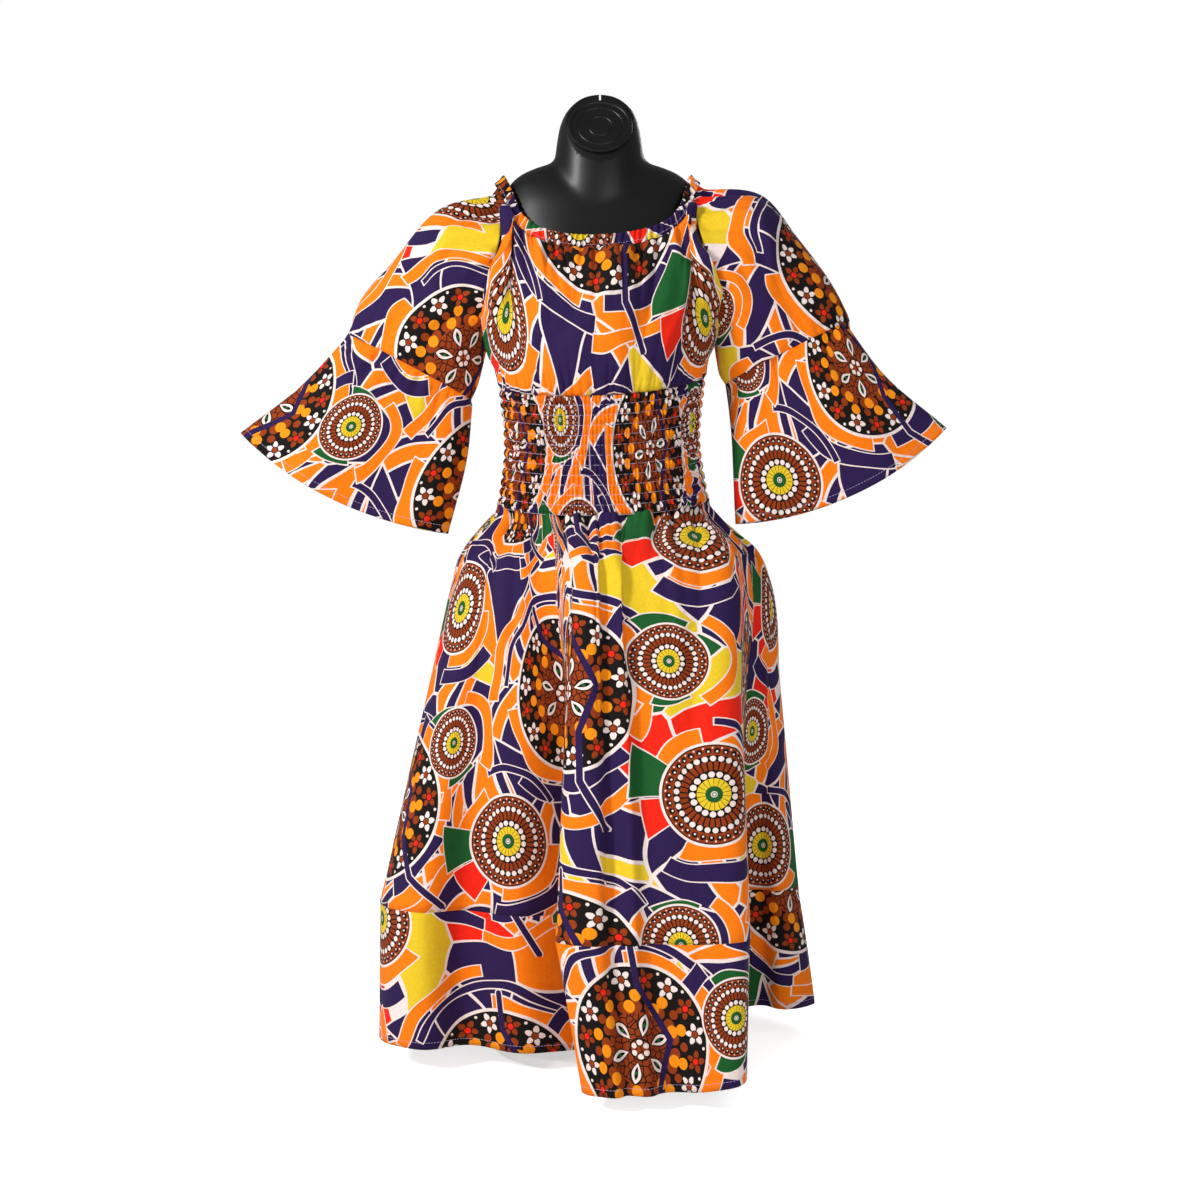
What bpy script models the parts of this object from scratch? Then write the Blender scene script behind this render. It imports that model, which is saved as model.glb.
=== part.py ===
"""A wax print dress on a limbless dress form with a pole stand.

Metres, +Z up.  The front of the dress faces -Y and +X is the viewer's right.  The origin is the
foot of the pole's axis on the underside of the stand's base.

Every piece of cloth is an open sheet lofted through rings, thickened by Solidify.  A ring around
the body is described by where it passes the front, right, back and left of the dress.  Angles
around the body are in degrees, counter-clockwise seen from above, with 0 at +X and 270 in front.
"""
import math
from collections import namedtuple

import bmesh
import bpy
from mathutils import Matrix, Vector

CLOTH = 0.0012          # thickness of every cloth wall
GAP = 0.0003            # clearance between sewn pieces and between touching hard pieces
STAND = 0.004           # straight stretch of cloth on each side of a gathered seam

# ---------------------------------------------------------------- the dress's rings

Ring = namedtuple("Ring", "front_y right_x back_y left_x front_z right_z back_z left_z")

WAIST_TOP = Ring(-0.098, 0.141, 0.098, -0.135, 0.902, 0.935, 0.936, 0.920)
WAIST_MIDDLE = Ring(-0.093, 0.134, 0.093, -0.128, 0.822, 0.851, 0.853, 0.840)
WAIST_BOTTOM = Ring(-0.101, 0.146, 0.101, -0.137, 0.742, 0.767, 0.770, 0.760)
RING_SQUARENESS = 2.3   # 2 is an ellipse, more is boxier

# Neckline: the top edge of the elastic casing, from the left shoulder round the front.
# `steps` is the number of mesh columns up to the next row.
Neck = namedtuple("Neck", "name x y z steps")
NECKLINE = [
    Neck("left shoulder", -0.1300, 0.000, 1.2130, 3),
    Neck("left armhole, front", -0.1170, -0.034, 1.1820, 1),
    Neck("left corner", -0.1065, -0.050, 1.1540, 2),
    Neck("left bend", -0.0850, -0.063, 1.1335, 2),
    Neck("left of centre", -0.0470, -0.073, 1.1205, 2),
    Neck("centre front", 0.0000, -0.077, 1.1180, 2),
    Neck("right of centre", 0.0440, -0.074, 1.1230, 2),
    Neck("right bend", 0.0820, -0.064, 1.1365, 2),
    Neck("right corner", 0.1040, -0.050, 1.1570, 1),
    Neck("right armhole, front", 0.1140, -0.034, 1.1850, 3),
    Neck("right shoulder", 0.1225, 0.000, 1.2140, 3),
    Neck("right armhole, back", 0.1120, 0.036, 1.1960, 3),
    Neck("right back", 0.0700, 0.070, 1.1620, 4),
    Neck("centre back", 0.0000, 0.080, 1.1520, 4),
    Neck("left back", -0.0700, 0.070, 1.1620, 3),
    Neck("left armhole, back", -0.1150, 0.036, 1.1950, 3),
]
CASING_HEIGHT = 0.018
SHOULDER_LEAN = 1.1     # how far the casing leans outward where it crosses the shoulders

# ---------------------------------------------------------------- bodice and sleeves

BODICE_ROWS = 6
FRONT_FULLNESS = 0.028  # how far the gathered cloth stands out over the chest
BACK_FULLNESS = 0.016

# The armhole seam under the casing, for each side of the body.
Armhole = namedtuple("Armhole", "place x y z")
ARMHOLES = {
    "left": [
        Armhole("back middle", -0.1390, 0.064, 1.100),
        Armhole("back low", -0.1450, 0.046, 1.028),
        Armhole("underarm", -0.1480, 0.000, 0.997),
        Armhole("front low", -0.1450, -0.047, 1.024),
        Armhole("front middle", -0.1380, -0.066, 1.092),
    ],
    "right": [
        Armhole("back middle", 0.1400, 0.064, 1.108),
        Armhole("back low", 0.1470, 0.046, 1.044),
        Armhole("underarm", 0.1500, 0.000, 1.016),
        Armhole("front low", 0.1470, -0.047, 1.040),
        Armhole("front middle", 0.1390, -0.066, 1.100),
    ],
}

# A sleeve is a flattened tube.  Each row is one section: its outer and inner edge seen from the
# front, and half its depth.  `bow` is how far the section's middle hangs below its ends.
Section = namedtuple("Section", "place outer_x outer_z inner_x inner_z half_depth bow")
SLEEVES = {
    "left": [
        Section("quarter", -0.217, 1.172, -0.1560, 0.978, 0.066, 0.000),
        Section("half", -0.286, 1.092, -0.1620, 0.952, 0.057, 0.000),
        Section("four fifths", -0.326, 1.045, -0.1710, 0.921, 0.045, 0.000),
        Section("elbow seam", -0.348, 0.996, -0.1780, 0.906, 0.038, 0.000),
    ],
    "right": [
        Section("quarter", 0.225, 1.187, 0.1570, 0.990, 0.066, 0.000),
        Section("half", 0.271, 1.130, 0.1610, 0.962, 0.057, 0.000),
        Section("four fifths", 0.321, 1.059, 0.1670, 0.937, 0.045, 0.000),
        Section("elbow seam", 0.344, 1.014, 0.1730, 0.928, 0.038, 0.000),
    ],
}
FLOUNCES = {
    "left": [
        Section("elbow seam", -0.348, 0.996, -0.1780, 0.906, 0.038, 0.000),
        Section("middle", -0.408, 0.928, -0.1840, 0.836, 0.040, 0.010),
        Section("hem", -0.494, 0.859, -0.2120, 0.722, 0.034, 0.026),
    ],
    "right": [
        Section("elbow seam", 0.344, 1.014, 0.1730, 0.928, 0.038, 0.000),
        Section("middle", 0.395, 0.939, 0.1830, 0.850, 0.040, 0.012),
        Section("hem", 0.476, 0.866, 0.1900, 0.735, 0.034, 0.030),
    ],
}
FLOUNCE_COLUMNS = 30
FLOUNCE_WAVES = 5
FLOUNCE_WAVE_HEIGHT = 0.007

# ---------------------------------------------------------------- skirt

HIP_Z = 0.660
TIER_SEAM = {"front": 0.203, "right": 0.210, "back": 0.216, "left": 0.2185}
SKIRT_HEM = {"front": 0.021, "right": 0.036, "back": 0.034, "left": 0.037}

# The skirt's folds, counter-clockwise from the left side seam.  Each row is a line that runs
# from the waist seam to the hem: its angle at the waist, and its place in plan at the hip, at the
# tier seam and at the hem.  `steps` is the number of mesh columns up to the next row.
Fold = namedtuple("Fold", "name waist_deg hip_x hip_y seam_x seam_y hem_x hem_y steps")
FRONT_FOLDS = [
    Fold("left side seam", 172, -0.203, 0.030, -0.290, 0.070, -0.294, 0.072, 3),
    Fold("left edge", 184, -0.205, -0.022, -0.302, -0.010, -0.303, -0.016, 3),
    Fold("left corner", 195, -0.190, -0.062, -0.282, -0.066, -0.284, -0.068, 2),
    Fold("left pressed fold", 206, -0.168, -0.096, -0.238, -0.088, -0.240, -0.086, 3),
    Fold("left trough", 217, -0.142, -0.118, -0.185, -0.056, -0.180, -0.056, 3),
    Fold("left swell", 230, -0.102, -0.142, -0.110, -0.086, -0.100, -0.084, 4),
    Fold("left valley", 242, -0.066, -0.150, -0.022, -0.054, -0.004, -0.052, 3),
    Fold("lobe side", 246, -0.056, -0.162, -0.038, -0.150, -0.012, -0.160, 3),
    Fold("lobe left fold", 252, -0.041, -0.178, -0.048, -0.249, -0.010, -0.268, 3),
    Fold("first pleat edge", 267, 0.002, -0.180, 0.004, -0.257, 0.022, -0.274, 1),
    Fold("first pleat foot", 270, 0.004, -0.172, 0.013, -0.246, 0.032, -0.262, 2),
    Fold("second pleat edge", 280, 0.030, -0.178, 0.045, -0.254, 0.064, -0.266, 1),
    Fold("second pleat foot", 283, 0.038, -0.170, 0.054, -0.245, 0.074, -0.257, 3),
    Fold("lobe middle", 305, 0.100, -0.172, 0.118, -0.249, 0.122, -0.262, 3),
    Fold("lobe right fold", 336, 0.170, -0.148, 0.174, -0.250, 0.163, -0.270, 3),
    Fold("lobe right side", 345, 0.190, -0.100, 0.183, -0.130, 0.177, -0.130, 3),
    Fold("right side seam", 352, 0.204, -0.050, 0.188, -0.020, 0.188, -0.010, 3),
]
BACK_FOLDS = [
    FRONT_FOLDS[-1],
    Fold("right valley", 358, 0.212, -0.018, 0.184, 0.075, 0.188, 0.110, 2),
    Fold("right inner ridge", 4, 0.232, -0.006, 0.232, 0.122, 0.240, 0.146, 2),
    Fold("right trough", 9, 0.232, 0.018, 0.252, 0.104, 0.262, 0.126, 2),
    Fold("right edge", 17, 0.243, 0.042, 0.288, 0.142, 0.317, 0.156, 3),
    Fold("right back corner", 36, 0.205, 0.112, 0.262, 0.238, 0.280, 0.250, 4),
    Fold("right back lobe", 56, 0.126, 0.162, 0.160, 0.292, 0.170, 0.304, 3),
    Fold("right back side", 67, 0.078, 0.158, 0.092, 0.258, 0.096, 0.262, 3),
    Fold("middle back valley", 77, 0.044, 0.142, 0.052, 0.176, 0.050, 0.172, 3),
    Fold("middle back side", 87, 0.014, 0.158, 0.004, 0.252, 0.000, 0.262, 3),
    Fold("middle back lobe", 99, -0.030, 0.176, -0.052, 0.292, -0.058, 0.306, 3),
    Fold("left back side", 112, -0.080, 0.158, -0.112, 0.244, -0.118, 0.248, 3),
    Fold("left back valley", 122, -0.110, 0.138, -0.134, 0.178, -0.136, 0.174, 3),
    Fold("left back side", 132, -0.136, 0.132, -0.172, 0.236, -0.178, 0.246, 4),
    Fold("left back corner", 150, -0.184, 0.098, -0.248, 0.214, -0.256, 0.222, 4),
    Fold("left back edge", 163, -0.200, 0.060, -0.284, 0.128, -0.288, 0.132, 3),
    FRONT_FOLDS[0],
]
SKIRT_LEVELS = [0.35, 0.7, 1.0, 1.33, 1.67, 2.0]     # 0 waist seam, 1 hip, 2 tier seam
TIER_LEVELS = [0.5, 1.0]                             # 0 tier seam, 1 hem

# ---------------------------------------------------------------- dress form and stand

# Horizontal sections of the torso, from its flat underside to the top of the shoulders.
Body = namedtuple("Body", "place z half_x front_y back_y")
TORSO = [
    Body("underside", 0.640, 0.096, -0.062, 0.062),
    Body("lower edge", 0.650, 0.116, -0.078, 0.078),
    Body("hip", 0.685, 0.131, -0.090, 0.092),
    Body("under the waist", 0.750, 0.128, -0.088, 0.089),
    Body("waist", 0.835, 0.118, -0.081, 0.081),
    Body("ribs", 0.905, 0.121, -0.086, 0.083),
    Body("under the bust", 0.955, 0.128, -0.094, 0.085),
    Body("bust", 1.010, 0.134, -0.099, 0.086),
    Body("over the bust", 1.060, 0.135, -0.089, 0.084),
    Body("chest", 1.110, 0.134, -0.071, 0.079),
    Body("upper chest", 1.150, 0.132, -0.062, 0.070),
    Body("collar bones", 1.180, 0.130, -0.055, 0.058),
    Body("shoulder points", 1.199, 0.126, -0.047, 0.048),
    Body("shoulders", 1.212, 0.114, -0.040, 0.040),
    Body("shoulder slope", 1.223, 0.092, -0.034, 0.034),
    Body("shoulder top", 1.230, 0.070, -0.028, 0.028),
]
NECK_COLUMN = [
    Body("inside the chest", 1.120, 0.060, -0.052, 0.052),
    Body("neck base", 1.180, 0.0655, -0.060, 0.058),
    Body("neck", 1.232, 0.0625, -0.059, 0.057),
    Body("knob", 1.262, 0.0590, -0.057, 0.056),
    Body("knob middle", 1.284, 0.0545, -0.053, 0.053),
    Body("knob shoulder", 1.300, 0.0470, -0.046, 0.047),
    Body("knob slope", 1.312, 0.0360, -0.036, 0.037),
    Body("knob crown", 1.320, 0.0240, -0.024, 0.025),
    Body("knob top", 1.325, 0.0080, -0.008, 0.008),
]
FORM_COLUMNS = 36
FORM_SQUARENESS = 2.2

DISC_CENTRE = Vector((0.0, -0.036, 1.271))
DISC_TILT = math.radians(25)     # how far the disc faces up from straight ahead
DISC_RADIUS = 0.044
DISC_THICKNESS = 0.004
DISC_RIM_WIDTH = 0.005
DISC_RIM_HEIGHT = 0.0015
HANG_NOTCH_WIDTH = 0.0025
HANG_NOTCH_DEPTH = 0.010

BASE_RADIUS = 0.150
BASE_THICKNESS = 0.012
BASE_SET_BACK = 0.070            # the pole stands nearer the base's front
POLE_RADIUS = 0.0125
FLANGE_RADIUS = 0.035
FLANGE_THICKNESS = 0.010

# ---------------------------------------------------------------- places worked out from the sizes


def between(start, end, share):
    """The value or point that lies `share` of the way from start to end."""
    return start + (end - start) * share


def around(front, right, back, left, degrees):
    """A value that passes smoothly through four values at the four sides of the body."""
    angle = math.radians(degrees)
    mean = (front + right + back + left) / 4
    sideways = (right - left) / 2 * math.cos(angle)
    lengthways = (back - front) / 2 * math.sin(angle)
    twofold = (right + left - front - back) / 4 * math.cos(2 * angle)
    return mean + sideways + lengthways + twofold


def superellipse(degrees, squareness):
    """Cosine and sine of an angle, drawn out towards the corners of a square."""
    angle = math.radians(degrees)
    c, s = math.cos(angle), math.sin(angle)
    c = math.copysign(abs(c) ** (2 / squareness), c)
    s = math.copysign(abs(s) ** (2 / squareness), s)
    return c, s


def ring_point(ring, degrees, lift=0.0):
    """The point of a ring at an angle around the body."""
    c, s = superellipse(degrees, RING_SQUARENESS)
    middle_x = (ring.right_x + ring.left_x) / 2
    middle_y = (ring.back_y + ring.front_y) / 2
    x = middle_x + (ring.right_x - ring.left_x) / 2 * c
    y = middle_y + (ring.back_y - ring.front_y) / 2 * s
    z = around(ring.front_z, ring.right_z, ring.back_z, ring.left_z, degrees)
    return Vector((x, y, z + lift))


def spread(values, steps):
    """Values between the rows of a table, with steps[i] equal parts after row i."""
    result = []
    for first, last, count in zip(values, values[1:], steps):
        result += [between(first, last, i / count) for i in range(count)]
    return result + [values[-1]]


def smooth_line(points, steps, before=None, after=None):
    """A smooth curve through points, with steps[i] equal parts after point i.

    `before` and `after` are the curve's neighbours past its two ends, where it has any.
    """
    line = [before or points[0] * 2 - points[1]] + points + [after or points[-1] * 2 - points[-2]]
    spans = [(b - a).length for a, b in zip(line, line[1:])]
    slopes = []
    for i in range(1, len(line) - 1):
        back = (line[i] - line[i - 1]) / spans[i - 1] * spans[i]
        ahead = (line[i + 1] - line[i]) / spans[i] * spans[i - 1]
        slopes.append((back + ahead) / (spans[i - 1] + spans[i]))
    curve = []
    for i, count in enumerate(steps):
        start, end, length = points[i], points[i + 1], spans[i + 1]
        for k in range(count):
            t = k / count
            blend = 3 * t ** 2 - 2 * t ** 3
            lead = slopes[i] * (t ** 3 - 2 * t ** 2 + t) + slopes[i + 1] * (t ** 3 - t ** 2)
            curve.append(between(start, end, blend) + lead * length)
    curve.append(points[-1].copy())
    return curve


def part_edges(sheet):
    """Draw a sheet's two side edges in, half of the seam's gap each."""
    for row in sheet:
        row[0] = row[0] + (row[1] - row[0]).normalized() * GAP / 2
        row[-1] = row[-1] + (row[-2] - row[-1]).normalized() * GAP / 2
    return sheet


# ---------------------------------------------------------------- making objects

COLLECTION = "wax_print_dress"


def material(name, colour, roughness, metallic=0.0, clearness=0.0):
    finish = bpy.data.materials.new(name)
    finish.use_nodes = True
    shader = finish.node_tree.nodes["Principled BSDF"]
    shader.inputs["Base Color"].default_value = (*colour, 1.0)
    shader.inputs["Roughness"].default_value = roughness
    shader.inputs["Metallic"].default_value = metallic
    shader.inputs["Transmission Weight"].default_value = clearness
    finish.diffuse_color = (*colour, 1.0)
    return finish


def place(name, mesh, finish):
    """Make an object of a mesh and put it in the part's collection."""
    item = bpy.data.objects.new(name, mesh)
    bpy.data.collections[COLLECTION].objects.link(item)
    mesh.materials.append(finish)
    mesh.shade_smooth()
    mesh.set_sharp_from_angle(angle=math.radians(40))
    return item


def lofted_mesh(name, rows, closed, capped=False):
    """A sheet of quads through rows of points; `closed` rows are loops."""
    mesh = bpy.data.meshes.new(name)
    work = bmesh.new()
    grid = [[work.verts.new(point) for point in row] for row in rows]
    count = len(grid[0])
    columns = count if closed else count - 1
    for lower, upper in zip(grid, grid[1:]):
        for i in range(columns):
            j = (i + 1) % count
            work.faces.new((lower[i], lower[j], upper[j], upper[i]))
    if capped:
        work.faces.new(reversed(grid[0]))
        work.faces.new(grid[-1])
    bmesh.ops.recalc_face_normals(work, faces=work.faces)
    work.to_mesh(mesh)
    work.free()
    return mesh


def cloth_piece(name, rows, closed, finish):
    """A piece of cloth: the sheet through the rows, given the cloth's thickness."""
    item = place(name, lofted_mesh(name, rows, closed), finish)
    wall = item.modifiers.new("cloth thickness", "SOLIDIFY")
    wall.thickness = CLOTH
    wall.offset = 0.0
    return item


# ---------------------------------------------------------------- neck casing


def neck_edges():
    """The casing's top and bottom edge, as two loops of the same number of points."""
    rows = [Vector((row.x, row.y, row.z)) for row in NECKLINE]
    steps = [row.steps for row in NECKLINE]
    top = smooth_line(rows + rows[:1], steps, before=rows[-1], after=rows[1])[:-1]
    lowest = min(point.z for point in top)
    height = max(point.z for point in top) - lowest
    bottom = []
    for point in top:
        lean = SHOULDER_LEAN * (point.z - lowest) / height
        outward = Vector((point.x, point.y, 0)).normalized()
        down = (outward * lean - Vector((0, 0, 1))).normalized()
        bottom.append(point + down * CASING_HEIGHT)
    return top, bottom


def neck_stretch(edge, first_name, last_name):
    """The points of a casing edge from one row of the neckline table to another."""
    names = [row.name for row in NECKLINE]
    starts = [sum(row.steps for row in NECKLINE[:i]) for i in range(len(NECKLINE))]
    first = starts[names.index(first_name)]
    last = starts[names.index(last_name)]
    count = (last - first) % len(edge)
    return [edge[(first + i) % len(edge)] for i in range(count + 1)]


def build_neck_casing(finish):
    top, bottom = neck_edges()
    cloth_piece("neck_casing", [bottom, top], True, finish)


# ---------------------------------------------------------------- bodice


def armhole_side(side, face):
    """The armhole seam from the underarm up to the casing, on the front or the back."""
    top, bottom = neck_edges()
    corner = neck_stretch(bottom, f"{side} armhole, {face}", f"{side} armhole, {face}")[0]
    seam = [Vector((row.x, row.y, row.z)) for row in ARMHOLES[side]]
    if face == "back":
        seam.reverse()
    low, middle = seam[3], seam[4]
    return smooth_line([seam[2], low, middle, corner], [3, 3, 3], before=seam[1])


def bodice_sheet(face, start_deg, fullness, first_side, last_side):
    """A bodice panel, from the waist seam up to the armholes and the casing."""
    top, bottom = neck_edges()
    neck = neck_stretch(bottom, f"{first_side} armhole, {face}", f"{last_side} armhole, {face}")
    first_armhole = armhole_side(first_side, face)
    last_armhole = armhole_side(last_side, face)
    upper = first_armhole[:-1] + neck + last_armhole[-2::-1]
    count = len(upper) - 1
    degrees = [start_deg + 180 * i / count for i in range(count + 1)]
    lower = [ring_point(WAIST_TOP, angle, GAP) for angle in degrees]
    sheet = []
    for k in range(BODICE_ROWS + 1):
        share = k / BODICE_ROWS
        row = []
        for low, high, angle in zip(lower, upper, degrees):
            facing = abs(math.sin(math.radians(angle)))
            outward = Vector((0.35 * math.cos(math.radians(angle)), math.sin(math.radians(angle)), 0))
            swell = fullness * facing ** 1.5 * math.sin(math.pi * share ** 0.8)
            row.append(between(low, high, share) + outward * swell)
        sheet.append(row)
    armhole = len(first_armhole) - 1
    for i in range(armhole, count - armhole + 1):
        down = (sheet[-2][i] - sheet[-1][i]).normalized()
        sheet[-1][i] = sheet[-1][i] + down * (GAP + CLOTH / 2)
    return part_edges(sheet)


def build_bodice(finish):
    cloth_piece("bodice_front", bodice_sheet("front", 180, FRONT_FULLNESS, "left", "right"), False, finish)
    cloth_piece("bodice_back", bodice_sheet("back", 0, BACK_FULLNESS, "right", "left"), False, finish)


# ---------------------------------------------------------------- waist band


def build_waist(finish):
    columns = 28
    for name, start_deg in (("waist_smocking_front", 180), ("waist_smocking_back", 0)):
        degrees = [start_deg + 180 * i / columns for i in range(columns + 1)]
        sheet = []
        for ring in (WAIST_BOTTOM, WAIST_MIDDLE, WAIST_TOP):
            sheet.append([ring_point(ring, angle) for angle in degrees])
        cloth_piece(name, part_edges(sheet), False, finish)


# ---------------------------------------------------------------- sleeves


def section_point(section, degrees, depth_share=1.0):
    """A point of a sleeve's section: 0 degrees at its outer edge, 90 in front."""
    angle = math.radians(degrees)
    outer = Vector((section.outer_x, 0, section.outer_z))
    inner = Vector((section.inner_x, 0, section.inner_z))
    half = (outer - inner) / 2
    hang = half.cross(Vector((0, 1, 0))).normalized()
    if hang.z > 0:
        hang.negate()
    point = between(outer, inner, 0.5) + half * math.cos(angle)
    point += Vector((0, -1, 0)) * section.half_depth * depth_share * math.sin(angle)
    return point + hang * section.bow * math.sin(angle) ** 2


def armhole_loop(side):
    """The whole armhole seam: up the front, over the shoulder under the casing, down the back."""
    top, bottom = neck_edges()
    front = armhole_side(side, "front")
    back = armhole_side(side, "back")
    if side == "left":
        shoulder = neck_stretch(bottom, "left armhole, back", "left armhole, front")[::-1]
    else:
        shoulder = neck_stretch(bottom, "right armhole, front", "right armhole, back")
    return front[:-1] + shoulder + back[-2:0:-1]


def build_sleeves(finish):
    for side, outward in (("left", -1), ("right", 1)):
        sections = SLEEVES[side]
        seam = armhole_loop(side)
        count = len(seam)
        low = min(point.z for point in seam)
        high = max(point.z for point in seam)
        columns = []
        for i, point in enumerate(seam):
            lowness = (high - point.z) / (high - low)
            clear = GAP + CLOTH * (0.4 + 0.9 * lowness)
            start = point + Vector((outward, 0, 0)) * clear
            angle = 180 - 360 * i / count
            route = [start] + [section_point(section, angle) for section in sections]
            columns.append(smooth_line(route, [2, 2, 2, 1]))
        rows = [list(row) for row in zip(*columns)]
        cloth_piece(f"sleeve_{side}", rows, True, finish)


def build_flounces(finish):
    for side in ("left", "right"):
        seam, middle, hem = FLOUNCES[side]
        outer = Vector((seam.outer_x, 0, seam.outer_z))
        inner = Vector((seam.inner_x, 0, seam.inner_z))
        along = (outer - inner).cross(Vector((0, 1, 0))).normalized()
        if along.z > 0:
            along.negate()
        columns = []
        for i in range(FLOUNCE_COLUMNS):
            angle = 180 - 360 * i / FLOUNCE_COLUMNS
            wave = FLOUNCE_WAVE_HEIGHT * math.cos(math.radians(angle * FLOUNCE_WAVES))
            start = section_point(seam, angle) + along * GAP
            straight = start + along * STAND
            mid_way = section_point(middle, angle, 1 + 0.6 * wave / middle.half_depth)
            end = section_point(hem, angle, 1 + wave / hem.half_depth)
            columns.append([start] + smooth_line([straight, mid_way, end], [1, 2]))
        rows = [list(row) for row in zip(*columns)]
        cloth_piece(f"sleeve_flounce_{side}", rows, True, finish)


# ---------------------------------------------------------------- skirt


def fold_rings(folds, before, after):
    """The skirt's rings at the waist seam, hip, tier seam and hem, for one panel's folds."""
    steps = [fold.steps for fold in folds[:-1]]
    angles = [fold.waist_deg for fold in folds]
    for i in range(1, len(angles)):
        while angles[i] < angles[i - 1]:
            angles[i] += 360
    waist_degrees = spread(angles, steps)
    waist = [ring_point(WAIST_BOTTOM, degrees, -GAP) for degrees in waist_degrees]

    def ring(x_name, y_name, heights):
        points = []
        for fold in [before] + folds + [after]:
            z = around(**heights, degrees=fold.waist_deg)
            points.append(Vector((getattr(fold, x_name), getattr(fold, y_name), z)))
        return smooth_line(points[1:-1], steps, before=points[0], after=points[-1])

    hip_height = {"front": HIP_Z, "right": HIP_Z, "back": HIP_Z, "left": HIP_Z}
    hip = ring("hip_x", "hip_y", hip_height)
    seam = ring("seam_x", "seam_y", TIER_SEAM)
    hem = ring("hem_x", "hem_y", SKIRT_HEM)
    return waist, hip, seam, hem


def skirt_row(waist, hip, seam, level):
    """The skirt's row at a level: it springs out from the waist seam, then hangs straight."""
    if level > 1:
        return [between(a, b, level - 1) for a, b in zip(hip, seam)]
    row = []
    for a, b in zip(waist, hip):
        point = between(a, b, math.sin(level * math.pi / 2))
        point.z = between(a.z, b.z, level)
        row.append(point)
    return row


def build_skirt(finish):
    panels = (
        ("front", FRONT_FOLDS, BACK_FOLDS[-2], BACK_FOLDS[1]),
        ("back", BACK_FOLDS, FRONT_FOLDS[-2], FRONT_FOLDS[1]),
    )
    for face, folds, before, after in panels:
        waist, hip, seam, hem = fold_rings(folds, before, after)
        straight = [point - Vector((0, 0, STAND)) for point in waist]
        sheet = [waist, straight]
        sheet += [skirt_row(straight, hip, seam, level) for level in SKIRT_LEVELS]
        cloth_piece(f"skirt_{face}", part_edges(sheet), False, finish)
        tier_top = [point - Vector((0, 0, GAP)) for point in seam]
        tier = [tier_top]
        tier += [[between(a, b, level) for a, b in zip(tier_top, hem)] for level in TIER_LEVELS]
        cloth_piece(f"hem_tier_{face}", part_edges(tier), False, finish)


# ---------------------------------------------------------------- dress form


def body_loft(name, sections):
    """A solid through horizontal oval sections whose front and back depths differ."""
    rows = []
    for section in sections:
        row = []
        for i in range(FORM_COLUMNS):
            c, s = superellipse(360 * i / FORM_COLUMNS, FORM_SQUARENESS)
            depth = section.back_y if s > 0 else -section.front_y
            row.append(Vector((section.half_x * c, depth * s, section.z)))
        rows.append(row)
    return lofted_mesh(name, rows, True, capped=True)


def cutter(name, mesh):
    """An object used only to shape the form."""
    item = bpy.data.objects.new(name, mesh)
    bpy.data.collections["cutters"].objects.link(item)
    item.hide_render = True
    item.display_type = "WIRE"
    return item


def build_form(finish):
    """The torso with its neck, cut flat where the disc sits and notched to hang at the top."""
    torso = place("form_torso", body_loft("form_torso", TORSO), finish)
    neck = cutter("neck_column", body_loft("neck_column", NECK_COLUMN))
    join = torso.modifiers.new("neck", "BOOLEAN")
    join.operation = "UNION"
    join.object = neck

    facing = Vector((0, -math.cos(DISC_TILT), math.sin(DISC_TILT)))
    turn = facing.to_track_quat("Z", "Y").to_matrix().to_4x4()
    block_size = 0.12
    work = bmesh.new()
    bmesh.ops.create_cube(work, size=block_size)
    block = bpy.data.meshes.new("neck_cut")
    work.to_mesh(block)
    work.free()
    cut_object = cutter("neck_cut", block)
    cut_object.matrix_world = Matrix.Translation(DISC_CENTRE + facing * block_size / 2) @ turn
    cut = torso.modifiers.new("disc seat", "BOOLEAN")
    cut.operation = "DIFFERENCE"
    cut.object = cut_object

    work = bmesh.new()
    bmesh.ops.create_cube(work, size=1)
    notch_block = bpy.data.meshes.new("hang_notch")
    work.to_mesh(notch_block)
    work.free()
    notch = cutter("hang_notch", notch_block)
    notch.scale = (HANG_NOTCH_WIDTH, block_size, 2 * HANG_NOTCH_DEPTH)
    notch.location = (0, 0, NECK_COLUMN[-1].z)
    slot = torso.modifiers.new("hang notch", "BOOLEAN")
    slot.operation = "DIFFERENCE"
    slot.object = notch

    disc = place("form_neck_disc", disc_mesh(), finish)
    disc.matrix_world = Matrix.Translation(DISC_CENTRE + facing * GAP) @ turn
    turned = disc.modifiers.new("turned", "SCREW")
    turned.steps = 36
    turned.render_steps = 36
    turned.merge_threshold = 0.0001
    turned.use_merge_vertices = True


def disc_mesh():
    """The profile of a plain disc with a raised rim, from its axis out and back."""
    rim_inside = DISC_RADIUS - DISC_RIM_WIDTH
    plate_top = DISC_THICKNESS
    rim_top = DISC_THICKNESS + DISC_RIM_HEIGHT
    profile = [(0, plate_top), (rim_inside, plate_top), (rim_inside + 0.001, rim_top),
               (DISC_RADIUS - 0.001, rim_top), (DISC_RADIUS, rim_top - 0.001), (DISC_RADIUS, 0), (0, 0)]
    mesh = bpy.data.meshes.new("form_neck_disc")
    edges = [(i, i + 1) for i in range(len(profile) - 1)]
    mesh.from_pydata([(r, 0, h) for r, h in profile], edges, [])
    return mesh


# ---------------------------------------------------------------- stand


def cylinder(name, radius, bottom, top, sides, finish, set_back=0.0):
    work = bmesh.new()
    bmesh.ops.create_cone(work, cap_ends=True, segments=sides, radius1=radius, radius2=radius,
                          depth=top - bottom)
    mesh = bpy.data.meshes.new(name)
    work.to_mesh(mesh)
    work.free()
    item = place(name, mesh, finish)
    item.location = (0, set_back, (bottom + top) / 2)
    return item


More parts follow.
